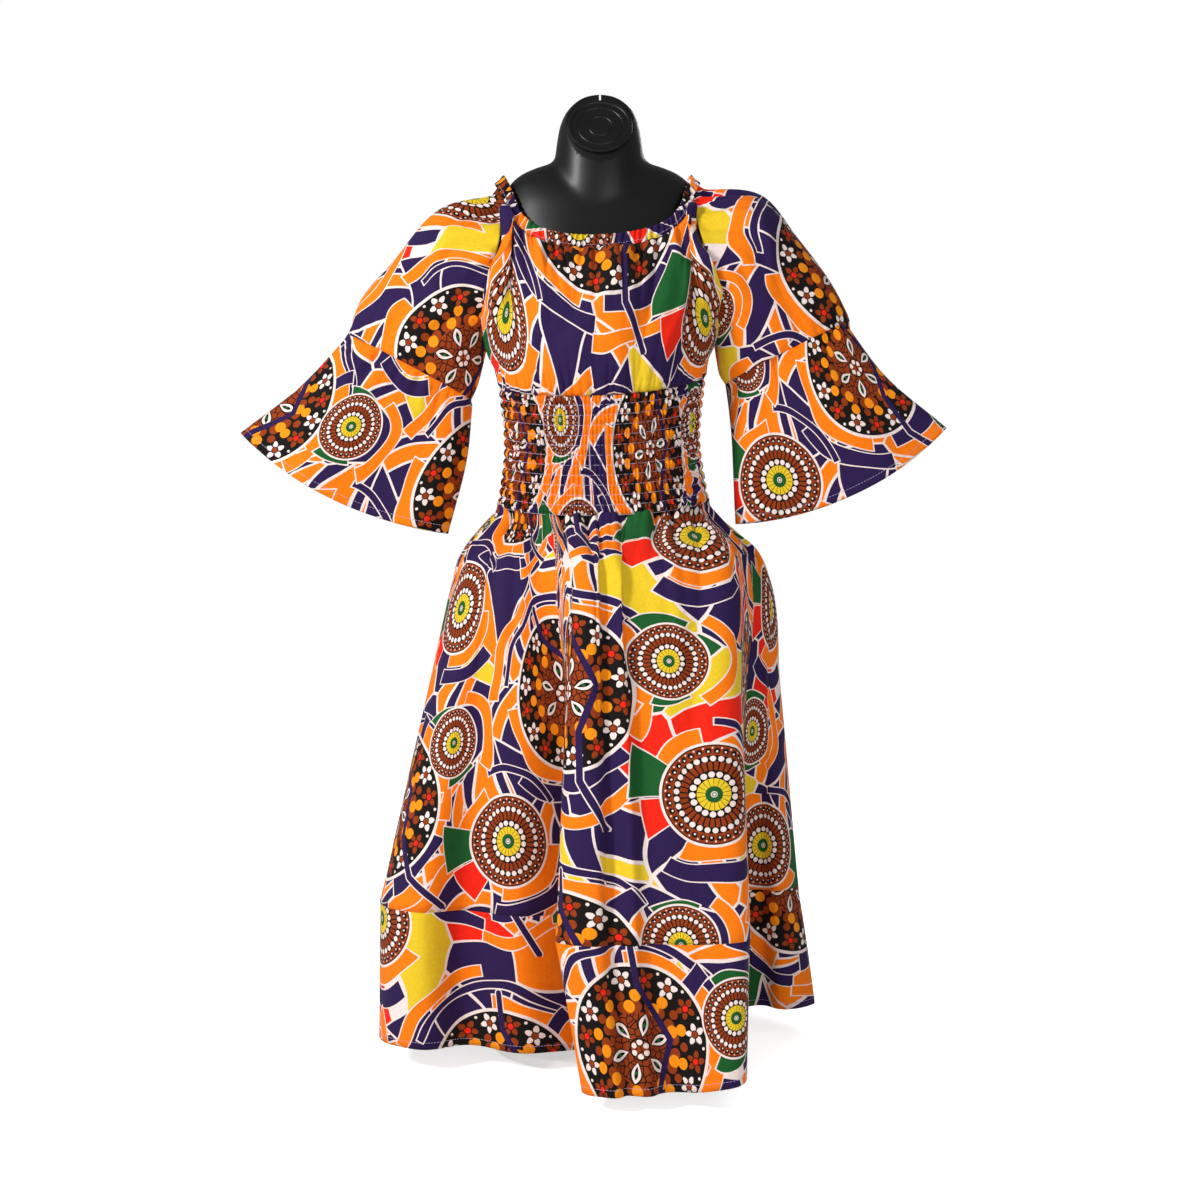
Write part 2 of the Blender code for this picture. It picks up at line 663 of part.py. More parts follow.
def build_stand(steel, glass):
    form_bottom = TORSO[0].z
    flange_bottom = form_bottom - GAP - FLANGE_THICKNESS
    cylinder("stand_base", BASE_RADIUS, 0, BASE_THICKNESS, 64, glass, BASE_SET_BACK)
    cylinder("stand_pole", POLE_RADIUS, BASE_THICKNESS + GAP, flange_bottom - GAP, 24, steel)
    cylinder("stand_flange", FLANGE_RADIUS, flange_bottom, form_bottom - GAP, 36, steel)


# ---------------------------------------------------------------- the whole part

for old in list(bpy.data.objects):
    bpy.data.objects.remove(old, do_unlink=True)
for collection_name in (COLLECTION, "cutters"):
    bpy.context.scene.collection.children.link(bpy.data.collections.new(collection_name))

dress_cloth = material("wax_print_cloth", (0.55, 0.22, 0.06), 0.8)
form_plastic = material("form_black", (0.012, 0.011, 0.011), 0.35)
stand_steel = material("stand_steel", (0.60, 0.60, 0.62), 0.3, metallic=1.0)
stand_glass = material("stand_glass", (0.92, 0.96, 0.95), 0.05, clearness=1.0)

build_neck_casing(dress_cloth)
build_bodice(dress_cloth)
build_waist(dress_cloth)
build_sleeves(dress_cloth)
build_flounces(dress_cloth)
build_skirt(dress_cloth)
build_form(form_plastic)
build_stand(stand_steel, stand_glass)
bpy.context.view_layer.update()
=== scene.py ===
import math
import random
from collections import namedtuple

import bmesh
import bpy
import numpy as np
from mathutils import Matrix, Vector


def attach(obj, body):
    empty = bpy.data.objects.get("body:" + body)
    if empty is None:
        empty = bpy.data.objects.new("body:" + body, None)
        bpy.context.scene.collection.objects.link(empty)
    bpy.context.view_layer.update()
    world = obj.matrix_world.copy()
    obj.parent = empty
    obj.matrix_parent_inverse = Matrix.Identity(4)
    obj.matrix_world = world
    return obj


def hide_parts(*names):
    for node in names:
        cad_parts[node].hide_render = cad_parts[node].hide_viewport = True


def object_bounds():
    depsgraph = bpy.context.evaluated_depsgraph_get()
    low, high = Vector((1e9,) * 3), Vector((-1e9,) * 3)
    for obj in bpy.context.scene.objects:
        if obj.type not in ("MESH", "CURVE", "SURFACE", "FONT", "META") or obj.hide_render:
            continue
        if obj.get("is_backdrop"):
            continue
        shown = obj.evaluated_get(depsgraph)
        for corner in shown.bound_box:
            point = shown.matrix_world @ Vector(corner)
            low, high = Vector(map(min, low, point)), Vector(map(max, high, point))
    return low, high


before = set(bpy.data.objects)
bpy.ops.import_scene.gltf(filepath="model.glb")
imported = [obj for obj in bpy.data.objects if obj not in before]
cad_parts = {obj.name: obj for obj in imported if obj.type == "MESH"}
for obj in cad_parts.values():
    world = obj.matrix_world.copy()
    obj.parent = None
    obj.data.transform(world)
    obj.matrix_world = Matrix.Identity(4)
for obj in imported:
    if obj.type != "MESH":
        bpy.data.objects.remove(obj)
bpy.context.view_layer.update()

# ================================================================ dress form
# A limbless torso with a neck block, moulded in black plastic with a satin skin.
# One hollow moulding; the neck's front is cut flat and holds a plain disc with a raised rim.

Body = namedtuple("Body", "place z half_x front_y back_y")
TORSO = [
    Body("underside", 0.640, 0.096, -0.062, 0.062),
    Body("lower edge", 0.650, 0.116, -0.078, 0.078),
    Body("hip", 0.685, 0.131, -0.090, 0.092),
    Body("under the waist", 0.750, 0.128, -0.088, 0.089),
    Body("waist", 0.835, 0.118, -0.081, 0.081),
    Body("ribs", 0.905, 0.121, -0.086, 0.083),
    Body("under the bust", 0.955, 0.128, -0.094, 0.085),
    Body("bust", 1.010, 0.134, -0.099, 0.086),
    Body("over the bust", 1.060, 0.135, -0.089, 0.084),
    Body("chest", 1.110, 0.134, -0.071, 0.079),
    Body("upper chest", 1.150, 0.132, -0.062, 0.070),
    Body("collar bones", 1.180, 0.130, -0.055, 0.058),
    Body("shoulder points", 1.199, 0.126, -0.047, 0.048),
    Body("shoulders", 1.212, 0.114, -0.040, 0.040),
    Body("shoulder slope", 1.223, 0.092, -0.034, 0.034),
    Body("shoulder top", 1.230, 0.070, -0.028, 0.028),
]
NECK_COLUMN = [
    Body("inside the chest", 1.120, 0.060, -0.052, 0.052),
    Body("neck base", 1.180, 0.0655, -0.060, 0.058),
    Body("neck", 1.232, 0.0625, -0.059, 0.057),
    Body("knob", 1.262, 0.0590, -0.057, 0.056),
    Body("knob middle", 1.284, 0.0545, -0.053, 0.053),
    Body("knob shoulder", 1.300, 0.0470, -0.046, 0.047),
    Body("knob slope", 1.312, 0.0360, -0.036, 0.037),
    Body("knob crown", 1.320, 0.0240, -0.024, 0.025),
    Body("knob top", 1.325, 0.0080, -0.008, 0.008),
]
FORM_COLUMNS = 96
FORM_SQUARENESS = 2.2
FORM_VOXEL = 0.0046
DISC_CENTRE = Vector((0.0, -0.036, 1.271))
DISC_TILT = math.radians(25)
HANG_NOTCH_WIDTH = 0.0025
HANG_NOTCH_DEPTH = 0.010
CUTTER = 0.12             # side of the cubes that cut the neck
FORM_BLACK = (0.0022, 0.0020, 0.0020)


def between(start, end, share):
    return start + (end - start) * share


def superellipse(degrees, squareness):
    """Cosine and sine of an angle, drawn out towards the corners of a square."""
    angle = math.radians(degrees)
    c, s = math.cos(angle), math.sin(angle)
    c = math.copysign(abs(c) ** (2 / squareness), c)
    s = math.copysign(abs(s) ** (2 / squareness), s)
    return c, s


def smooth_line(points, steps, before=None, after=None):
    """A smooth curve through points, with steps[i] equal parts after point i."""
    line = [before or points[0] * 2 - points[1]] + points + [after or points[-1] * 2 - points[-2]]
    spans = [(b - a).length for a, b in zip(line, line[1:])]
    slopes = []
    for i in range(1, len(line) - 1):
        back = (line[i] - line[i - 1]) / spans[i - 1] * spans[i]
        ahead = (line[i + 1] - line[i]) / spans[i] * spans[i - 1]
        slopes.append((back + ahead) / (spans[i - 1] + spans[i]))
    curve = []
    for i, count in enumerate(steps):
        start, end, length = points[i], points[i + 1], spans[i + 1]
        for k in range(count):
            t = k / count
            blend = 3 * t ** 2 - 2 * t ** 3
            lead = slopes[i] * (t ** 3 - 2 * t ** 2 + t) + slopes[i + 1] * (t ** 3 - t ** 2)
            curve.append(between(start, end, blend) + lead * length)
    curve.append(points[-1].copy())
    return curve


def add_object(name, mesh, *finishes):
    item = bpy.data.objects.new(name, mesh)
    bpy.context.scene.collection.objects.link(item)
    for finish in finishes:
        mesh.materials.append(finish)
    return item


def apply_modifiers(item):
    """Put an object's evaluated mesh in place of its own."""
    graph = bpy.context.evaluated_depsgraph_get()
    mesh = bpy.data.meshes.new_from_object(item.evaluated_get(graph))
    item.modifiers.clear()
    item.data = mesh


def boolean(item, operation, tool):
    """Join a body with a tool or cut it by one; the tool is then removed."""
    step = item.modifiers.new("boolean", "BOOLEAN")
    step.operation = operation
    step.object = tool
    apply_modifiers(item)
    bpy.data.objects.remove(tool)


def body_loft(name, sections):
    """A closed body through horizontal oval sections, smoothed from one section to the next."""
    columns = []
    for i in range(FORM_COLUMNS):
        c, s = superellipse(360 * i / FORM_COLUMNS, FORM_SQUARENESS)
        line = []
        for section in sections:
            depth = section.back_y if s > 0 else -section.front_y
            line.append(Vector((section.half_x * c, depth * s, section.z)))
        columns.append(smooth_line(line, [4] * (len(line) - 1)))
    work = bmesh.new()
    grid = [[work.verts.new(point) for point in row] for row in zip(*columns)]
    for lower, upper in zip(grid, grid[1:]):
        for i in range(FORM_COLUMNS):
            j = (i + 1) % FORM_COLUMNS
            work.faces.new((lower[i], lower[j], upper[j], upper[i]))
    work.faces.new(reversed(grid[0]))
    work.faces.new(grid[-1])
    mesh = bpy.data.meshes.new(name)
    work.to_mesh(mesh)
    work.free()
    return mesh


def tilted_block(name, centre, facing):
    """A cube for cutting, with one face through the centre given and the rest of it beyond."""
    work = bmesh.new()
    bmesh.ops.create_cube(work, size=CUTTER)
    mesh = bpy.data.meshes.new(name)
    work.to_mesh(mesh)
    work.free()
    item = add_object(name, mesh)
    turn = facing.to_track_quat("Z", "Y").to_matrix().to_4x4()
    item.matrix_world = Matrix.Translation(centre + facing * CUTTER / 2) @ turn
    return item


class Board:
    """Short calls that lay out shader nodes in one tree."""

    def __init__(self, tree):
        self.tree = tree

    def add(self, kind, **settings):
        node = self.tree.nodes.new(kind)
        for key, value in settings.items():
            setattr(node, key, value)
        return node

    def feed(self, socket, value):
        if isinstance(value, bpy.types.NodeSocket):
            self.tree.links.new(value, socket)
        else:
            socket.default_value = value

    def math(self, operation, *values):
        node = self.add("ShaderNodeMath", operation=operation)
        for socket, value in zip(node.inputs, values):
            self.feed(socket, value)
        return node.outputs[0]

    def mix(self, share, first, second):
        node = self.add("ShaderNodeMix", data_type="RGBA")
        self.feed(node.inputs["Factor"], share)
        for name, value in (("A", first), ("B", second)):
            socket = [s for s in node.inputs if s.name == name and s.type == "RGBA"][0]
            self.feed(socket, value if isinstance(value, bpy.types.NodeSocket) else (*value, 1.0))
        return [s for s in node.outputs if s.type == "RGBA"][0]

    def noise(self, vector, scale, detail=2.0, roughness=0.5):
        node = self.add("ShaderNodeTexNoise")
        self.feed(node.inputs["Vector"], vector)
        node.inputs["Scale"].default_value = scale
        node.inputs["Detail"].default_value = detail
        node.inputs["Roughness"].default_value = roughness
        return node.outputs["Fac"]

    def place(self):
        return self.add("ShaderNodeTexCoord").outputs["Object"]

    def vector(self, operation, *values):
        node = self.add("ShaderNodeVectorMath", operation=operation)
        for socket, value in zip(node.inputs, values):
            self.feed(socket, value)
        return node.outputs

    def cells(self, vector, scale, feature):
        node = self.add("ShaderNodeTexVoronoi", voronoi_dimensions="2D", feature=feature)
        self.feed(node.inputs["Vector"], vector)
        node.inputs["Scale"].default_value = scale
        return node.outputs

    def bump(self, shader, height, strength, distance):
        node = self.add("ShaderNodeBump")
        node.inputs["Strength"].default_value = strength
        node.inputs["Distance"].default_value = distance
        self.feed(node.inputs["Height"], height)
        self.feed(shader.inputs["Normal"], node.outputs["Normal"])

    def ramp(self, value, stops, interpolation="LINEAR"):
        """A colour ramp; stops are (position, colour) pairs."""
        node = self.add("ShaderNodeValToRGB")
        node.color_ramp.interpolation = interpolation
        marks = node.color_ramp.elements
        while len(marks) < len(stops):
            marks.new(1.0)
        for mark, (position, colour) in zip(marks, stops):
            mark.position = position
            mark.color = (*colour, 1.0)
        self.feed(node.inputs["Fac"], value)
        return node.outputs["Color"]


def new_material(name, colour, roughness, metallic=0.0):
    finish = bpy.data.materials.new(name)
    finish.use_nodes = True
    shader = finish.node_tree.nodes["Principled BSDF"]
    shader.inputs["Base Color"].default_value = (*colour, 1.0)
    shader.inputs["Roughness"].default_value = roughness
    shader.inputs["Metallic"].default_value = metallic
    return finish, Board(finish.node_tree), shader


def moulded_plastic(name, colour):
    """Satin black plastic: faint orange peel, and a skin a little duller in places."""
    finish, board, shader = new_material(name, colour, 0.36)
    place = board.place()
    dull = board.noise(place, 9.0, 3.0)
    shader.inputs["Specular IOR Level"].default_value = 0.28
    shader.inputs["Coat Weight"].default_value = 0.10
    shader.inputs["Coat Roughness"].default_value = 0.30
    board.feed(shader.inputs["Roughness"], board.math("MULTIPLY_ADD", dull, 0.20, 0.34))
    board.bump(shader, board.noise(place, 420.0, 2.0), 0.12, 0.0006)
    return finish


form_plastic = moulded_plastic("form_black_plastic", FORM_BLACK)
form = add_object("form_body", body_loft("form_body", TORSO), form_plastic)
neck = add_object("neck_column", body_loft("neck_column", NECK_COLUMN))
boolean(form, "UNION", neck)
even = form.modifiers.new("even skin", "REMESH")
even.mode = "VOXEL"
even.voxel_size = FORM_VOXEL
soften = form.modifiers.new("soften the joins", "SMOOTH")
soften.factor = 0.5
soften.iterations = 9
apply_modifiers(form)
disc_facing = Vector((0, -math.cos(DISC_TILT), math.sin(DISC_TILT)))
boolean(form, "DIFFERENCE", tilted_block("disc_seat", DISC_CENTRE, disc_facing))
neck_top_point = Vector((0, 0, NECK_COLUMN[-1].z))
notch = tilted_block("hang_notch", neck_top_point, Vector((0, 0, 1)))
notch.scale = (HANG_NOTCH_WIDTH / CUTTER, 1, 2 * HANG_NOTCH_DEPTH / CUTTER)
notch.location = neck_top_point
boolean(form, "DIFFERENCE", notch)
form.data.materials.clear()
form.data.materials.append(form_plastic)
form.data.shade_smooth()
form.data.set_sharp_from_angle(angle=math.radians(50))
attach(form, "root")
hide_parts("form_torso")

# The disc on the neck: a plain turned cap with a raised rim and two shallow rings.
DISC_PROFILE = [
    (0.0000, 0.0040), (0.0150, 0.0040), (0.0158, 0.0034), (0.0166, 0.0040), (0.0300, 0.0040),
    (0.0308, 0.0034), (0.0316, 0.0040), (0.0388, 0.0040), (0.0394, 0.0050), (0.0402, 0.0055),
    (0.0428, 0.0055), (0.0436, 0.0051), (0.0440, 0.0043), (0.0440, 0.0000), (0.0000, 0.0000),
]
disc_mesh = bpy.data.meshes.new("neck_disc")
disc_mesh.from_pydata([(r, 0, h) for r, h in DISC_PROFILE],
                      [(i, i + 1) for i in range(len(DISC_PROFILE) - 1)], [])
disc = add_object("neck_disc", disc_mesh, form_plastic)
turned = disc.modifiers.new("turned", "SCREW")
turned.steps = 96
turned.render_steps = 96
turned.use_merge_vertices = True
turned.merge_threshold = 0.00005
disc.matrix_world = (Matrix.Translation(DISC_CENTRE + disc_facing * 0.0003)
                     @ disc_facing.to_track_quat("Z", "Y").to_matrix().to_4x4())
apply_modifiers(disc)
disc.data.shade_smooth()
disc.data.set_sharp_from_angle(angle=math.radians(30))
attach(disc, "root")
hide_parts("form_neck_disc")

# ================================================================ stand
# A satin steel pole screwed into a flange under the form, on a clear glass plate.
# Each keeps its own shape; only the finish is made here.


def satin_steel(name):
    finish, board, shader = new_material(name, (0.56, 0.56, 0.58), 0.3, metallic=1.0)
    place = board.place()
    stretch = board.add("ShaderNodeMapping")
    stretch.inputs["Scale"].default_value = (1.0, 1.0, 0.02)
    board.feed(stretch.inputs["Vector"], place)
    grain = board.noise(stretch.outputs["Vector"], 900.0, 3.0)
    board.feed(shader.inputs["Roughness"], board.math("MULTIPLY_ADD", grain, 0.22, 0.18))
    return finish


def clear_plate(name):
    finish, board, shader = new_material(name, (0.95, 0.985, 0.98), 0.03)
    shader.inputs["IOR"].default_value = 1.46
    shader.inputs["Alpha"].default_value = 0.22
    place = board.place()
    smudge = board.noise(place, 14.0, 4.0)
    board.feed(shader.inputs["Roughness"], board.math("MULTIPLY_ADD", smudge, 0.05, 0.01))
    return finish


steel = satin_steel("satin_steel")
stand = (("stand_pole", steel), ("stand_flange", steel), ("stand_base", clear_plate("clear_plate")))
for node_name, finish in stand:
    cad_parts[node_name].data.materials.clear()
    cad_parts[node_name].data.materials.append(finish)

# ================================================================ wax print
# Printed cotton: both faces carry the same wax-resist design, with pale outlines between inks.
# Beaded sun discs and flowered roundels repeat over bands, arcs and broken patches of colour.

TILE_WIDTH = 0.38
TILE_HEIGHT = 0.35
Roundel = namedtuple("Roundel", "x y radius")
FLOWERED = Roundel(0.100, 0.230, 0.100)
LARGE_SUN = Roundel(0.290, 0.100, 0.062)
SMALL_SUN = Roundel(0.243, 0.268, 0.047)

INDIGO = (0.022, 0.008, 0.066)
ORANGE = (1.000, 0.205, 0.001)
YELLOW = (0.820, 0.560, 0.020)
RED = (0.860, 0.016, 0.003)
GREEN = (0.008, 0.098, 0.020)
BROWN = (0.290, 0.040, 0.003)
AMBER = (0.960, 0.290, 0.004)
BLACK = (0.005, 0.003, 0.0025)
PALE = (0.900, 0.745, 0.700)

# Long bands that bend round a roundel: radii in metres, angles in degrees.
Band = namedtuple("Band", "around inner outer start end ink")
BANDS = [
    Band("flowered", 0.085, 0.121, -30, 95, ORANGE),
    Band("flowered", 0.085, 0.124, 165, 250, ORANGE),
    Band("flowered", 0.129, 0.138, 40, 150, INDIGO),
    Band("flowered", 0.130, 0.150, 205, 262, INDIGO),
    Band("flowered", 0.150, 0.166, 262, 335, ORANGE),
    Band("flowered", 0.085, 0.124, 268, 318, INDIGO),
    Band("flowered", 0.146, 0.163, 100, 158, ORANGE),
    Band("large", 0.045, 0.082, 100, 150, ORANGE),
    Band("large", 0.045, 0.112, 146, 181, GREEN),
    Band("large", 0.045, 0.098, 184, 214, RED),
    Band("large", 0.088, 0.112, 235, 300, INDIGO),
    Band("large", 0.045, 0.082, 240, 330, ORANGE),
    Band("large", 0.088, 0.098, 10, 88, INDIGO),
    Band("small", 0.032, 0.058, 62, 128, GREEN),
    Band("small", 0.032, 0.058, 246, 300, GREEN),
    Band("small", 0.063, 0.078, -50, 50, ORANGE),
    Band("small", 0.063, 0.088, 130, 176, INDIGO),
    Band("small", 0.063, 0.075, 186, 238, ORANGE),
]
# Rings of beads: radii and sizes as shares of the roundel's radius, shift as a share of a step.
Beads = namedtuple("Beads", "count ring size shift ink")
FLOWERED_BEADS = [
    Beads(6, 0.300, 0.024, 0.25, GREEN),
    Beads(18, 0.520, 0.074, 0.0, BROWN),
    Beads(20, 0.655, 0.058, 0.5, BROWN),
    Beads(10, 0.655, 0.074, 0.0, AMBER),
    Beads(9, 0.520, 0.078, 0.0, AMBER),
    Beads(6, 0.085, 0.034, 0.0, PALE),
]
SUN_BEADS = [
    Beads(17, 0.400, 0.060, 0.0, PALE),
    Beads(30, 0.718, 0.056, 0.0, PALE),
    Beads(34, 0.875, 0.058, 0.5, BLACK),
    Beads(34, 0.862, 0.021, 0.5, PALE),
    Beads(34, 0.935, 0.018, 0.0, PALE),
]
# A crooked stroke printed over each flowered roundel, from its centre, in metres.
STROKE = [(0.000, 0.125), (0.004, 0.078), (0.046, 0.008), (0.024, -0.050), (0.026, -0.112), (0.060, -0.172)]
STROKE_HALF_WIDTH = 0.0042
OUTLINE = 0.0017          # width of the undyed line round each ink
PATCHES = 12.0            # broken patches of the ground to a metre
ARCS = 8.6                # repeats of the arcs' colours to a metre


def wax_print_group():
    """The printed design as a node group: cloth coordinates in metres in, ink colour out."""
    group = bpy.data.node_groups.new("wax_print", "ShaderNodeTree")
    group.interface.new_socket("Cloth", in_out="INPUT", socket_type="NodeSocketVector")
    group.interface.new_socket("Ink", in_out="OUTPUT", socket_type="NodeSocketColor")
    board = Board(group)
    cloth = board.add("NodeGroupInput").outputs["Cloth"]
    split = board.add("ShaderNodeSeparateXYZ")
    board.feed(split.inputs["Vector"], cloth)
    u, v = split.outputs["X"], split.outputs["Y"]

    def offset_from(roundel):
        x = board.math("WRAP", board.math("SUBTRACT", u, roundel.x), TILE_WIDTH / 2, -TILE_WIDTH / 2)
        y = board.math("WRAP", board.math("SUBTRACT", v, roundel.y), TILE_HEIGHT / 2, -TILE_HEIGHT / 2)
        return x, y

    def length(x, y):
        square = board.math("ADD", board.math("MULTIPLY", x, x), board.math("MULTIPLY", y, y))
        return board.math("SQRT", square)

    def polar(x, y):
        return length(x, y), board.math("ARCTAN2", y, x)

    def sectors(angle, count, shift=0.0):
        """Turns the angle into a count of equal sectors: the whole part says which one."""
        return board.math("MULTIPLY_ADD", angle, count / math.tau, count + shift)

    def turn_share(angle, count, shift=0.0):
        """Where a point lies within its sector, 0 to 1."""
        return board.math("FRACT", sectors(angle, count, shift))

    def ring_offset(radius, share, count, ring):
        """Distances along and across a ring from the middle of the nearest sector."""
        along = board.math("MULTIPLY", board.math("SUBTRACT", share, 0.5), math.tau * ring / count)
        return along, board.math("SUBTRACT", radius, ring)

    def dots(radius, angle, count, ring, size, shift=0.0):
        along, across = ring_offset(radius, turn_share(angle, count, shift), count, ring)
        return board.math("LESS_THAN", length(along, across), size)

    def spokes(angle, count, width):
        off_middle = board.math("SUBTRACT", turn_share(angle, count), 0.5)
        return board.math("LESS_THAN", board.math("ABSOLUTE", off_middle), width)

    def within(value, low, high):
        return board.math("MULTIPLY", board.math("GREATER_THAN", value, low),
                          board.math("LESS_THAN", value, high))

    flowered_x, flowered_y = offset_from(FLOWERED)
    flowered_radius, flowered_angle = polar(flowered_x, flowered_y)
    large_radius, large_angle = polar(*offset_from(LARGE_SUN))
    small_radius, small_angle = polar(*offset_from(SMALL_SUN))

    # Ground: broken patches, each filled with arcs about a centre of its own or with one ink.
    wobble = board.add("ShaderNodeTexNoise")
    board.feed(wobble.inputs["Vector"], cloth)
    wobble.inputs["Scale"].default_value = 9.0
    wobble.inputs["Detail"].default_value = 0.0
    bent = board.vector("MULTIPLY_ADD", wobble.outputs["Color"], (0.06, 0.06, 0.0), cloth)["Vector"]
    patch = board.cells(bent, PATCHES, "F1")
    edge = board.cells(bent, PATCHES, "DISTANCE_TO_EDGE")
    chance = board.add("ShaderNodeSeparateXYZ")
    board.feed(chance.inputs["Vector"], patch["Color"])
    centre = board.vector("MULTIPLY_ADD", patch["Color"], (0.42, 0.42, 0.0), patch["Position"])["Vector"]
    away = board.vector("SUBTRACT", bent, centre)["Vector"]
    flat = board.vector("MULTIPLY_ADD", away, (1.0, 1.0, 0.0), (0.21, 0.21, 0.0))["Vector"]
    reach = board.vector("LENGTH", flat)["Value"]
    arc = board.math("FRACT", board.math("MULTIPLY_ADD", reach, ARCS, chance.outputs["Z"]))
    arcs = board.ramp(arc, [
        (0.000, PALE), (0.030, INDIGO), (0.400, PALE), (0.435, ORANGE), (0.640, PALE), (0.675, INDIGO),
        (0.780, PALE), (0.815, ORANGE),
    ], "CONSTANT")
    arcs_two = board.ramp(arc, [
        (0.000, PALE), (0.035, ORANGE), (0.250, PALE), (0.285, INDIGO), (0.690, PALE), (0.725, YELLOW),
        (0.870, PALE), (0.900, INDIGO),
    ], "CONSTANT")
    solid = board.ramp(chance.outputs["X"], [
        (0.000, YELLOW), (0.095, RED), (0.135, GREEN), (0.165, INDIGO), (0.450, PALE), (0.475, ORANGE),
    ], "CONSTANT")
    ink = board.mix(board.math("GREATER_THAN", chance.outputs["Y"], 0.50), arcs, arcs_two)
    ink = board.mix(board.math("LESS_THAN", chance.outputs["X"], 0.54), ink, solid)
    ink = board.mix(board.math("LESS_THAN", edge["Distance"], OUTLINE * PATCHES), ink, PALE)

    # Long bands round the roundels, each with its pale outline.
    sway = board.math("MULTIPLY", board.math("SUBTRACT", board.noise(cloth, 13.0, 0.0), 0.5), 0.034)
    rings = {
        "flowered": (board.math("ADD", flowered_radius, sway), flowered_angle),
        "large": (board.math("ADD", large_radius, sway), large_angle),
        "small": (board.math("ADD", small_radius, sway), small_angle),
    }
    for band in BANDS:
        radius, angle = rings[band.around]
        middle = math.radians((band.start + band.end) / 2)
        half = math.radians((band.end - band.start) / 2)
        turn = board.math("ABSOLUTE", board.math("WRAP", board.math("SUBTRACT", angle, middle),
                                                 math.pi, -math.pi))
        rim = OUTLINE * 1.2 / band.outer
        outline = board.math("MULTIPLY", within(radius, band.inner - OUTLINE, band.outer + OUTLINE),
                             board.math("LESS_THAN", turn, half + rim))
        fill = board.math("MULTIPLY", within(radius, band.inner, band.outer),
                          board.math("LESS_THAN", turn, half))
        ink = board.mix(outline, ink, PALE)
        ink = board.mix(fill, ink, band.ink)

    # Flowered roundel: flowers on black, a ring of coloured beads, and a leaf rosette.
    share_of = board.math("DIVIDE", flowered_radius, FLOWERED.radius)
    face = board.ramp(board.math("DIVIDE", share_of, 2.0), [
        (0.000, BROWN), (0.055, BLACK), (0.070, BROWN), (0.225, BLACK), (0.500, PALE),
    ], "CONSTANT")
    scale = board.cells(cloth, 110.0, "DISTANCE_TO_EDGE")
    scale_line = board.math("MULTIPLY", board.math("LESS_THAN", scale["Distance"], 0.075),
                            board.math("LESS_THAN", share_of, 0.44))
    face = board.mix(scale_line, face, BLACK)
    leaf_x, leaf_y = ring_offset(share_of, turn_share(flowered_angle, 6, 0.25), 6, 0.300)
    narrowing = board.math("MULTIPLY", board.math("MULTIPLY", leaf_y, leaf_y), 3.4)
    leaf_width = board.math("SUBTRACT", 0.062, narrowing)
    leaf_rim = board.math("SUBTRACT", leaf_width, board.math("ABSOLUTE", leaf_x))
    for inset, colour in ((-0.018, BLACK), (0.0, PALE), (0.036, BLACK)):
        face = board.mix(board.math("GREATER_THAN", leaf_rim, inset), face, colour)
    for beads in FLOWERED_BEADS:
        spots = dots(share_of, flowered_angle, beads.count, beads.ring, beads.size, beads.shift)
        face = board.mix(spots, face, beads.ink)
    flower = board.math("FLOOR", sectors(flowered_angle, 16))
    along, across = ring_offset(share_of, turn_share(flowered_angle, 16), 16, 0.845)
    from_heart, bearing = polar(along, across)
    petal_wave = board.math("COSINE", board.math("MULTIPLY", bearing, 5.0))
    petal_edge = board.math("MULTIPLY_ADD", petal_wave, 0.030, 0.108)
    odd_flower = board.math("GREATER_THAN", board.math("PINGPONG", flower, 1.0), 0.5)
    petal_ink = board.mix(odd_flower, PALE, BROWN)
    heart_ink = board.mix(odd_flower, BROWN, RED)
    petals = board.math("MULTIPLY", board.math("LESS_THAN", from_heart, petal_edge),
                        board.math("GREATER_THAN", petal_wave, -0.72))
    face = board.mix(petals, face, petal_ink)
    face = board.mix(board.math("LESS_THAN", from_heart, 0.052), face, BLACK)
    face = board.mix(board.math("LESS_THAN", from_heart, 0.040), face, heart_ink)
    face = board.mix(dots(share_of, flowered_angle, 16, 0.955, 0.020, 0.5), face, PALE)
    ink = board.mix(board.math("LESS_THAN", share_of, 1.045), ink, face)

    # Sun discs, large and small: the nearer one, measured in its own radius.
    large_share = board.math("DIVIDE", large_radius, LARGE_SUN.radius)
    small_share = board.math("DIVIDE", small_radius, SMALL_SUN.radius)
    small_nearer = board.math("LESS_THAN", small_share, large_share)
    sun_share = board.math("MINIMUM", small_share, large_share)
    other_angle = board.math("MULTIPLY", small_nearer, board.math("SUBTRACT", small_angle, large_angle))
    sun_angle = board.math("ADD", large_angle, other_angle)
    sun = board.ramp(board.math("DIVIDE", sun_share, 2.0), [
        (0.0000, GREEN), (0.0785, YELLOW), (0.1570, BLACK), (0.2400, BROWN), (0.3280, BLACK),
        (0.3900, BROWN), (0.4850, BLACK), (0.5000, PALE),
    ], "CONSTANT")
    ray = board.math("MULTIPLY", spokes(sun_angle, 18, 0.06), within(sun_share, 0.157, 0.314))
    sun = board.mix(ray, sun, BLACK)
    slot = board.math("MULTIPLY", spokes(sun_angle, 34, 0.14), within(sun_share, 0.48, 0.656))
    sun = board.mix(slot, sun, BLACK)
    for eye, colour in ((0.062, PALE), (0.045, GREEN), (0.026, PALE)):
        sun = board.mix(board.math("LESS_THAN", sun_share, eye), sun, colour)
    for beads in SUN_BEADS:
        spots = dots(sun_share, sun_angle, beads.count, beads.ring, beads.size, beads.shift)
        sun = board.mix(spots, sun, beads.ink)
    ink = board.mix(board.math("LESS_THAN", sun_share, 1.055), ink, sun)

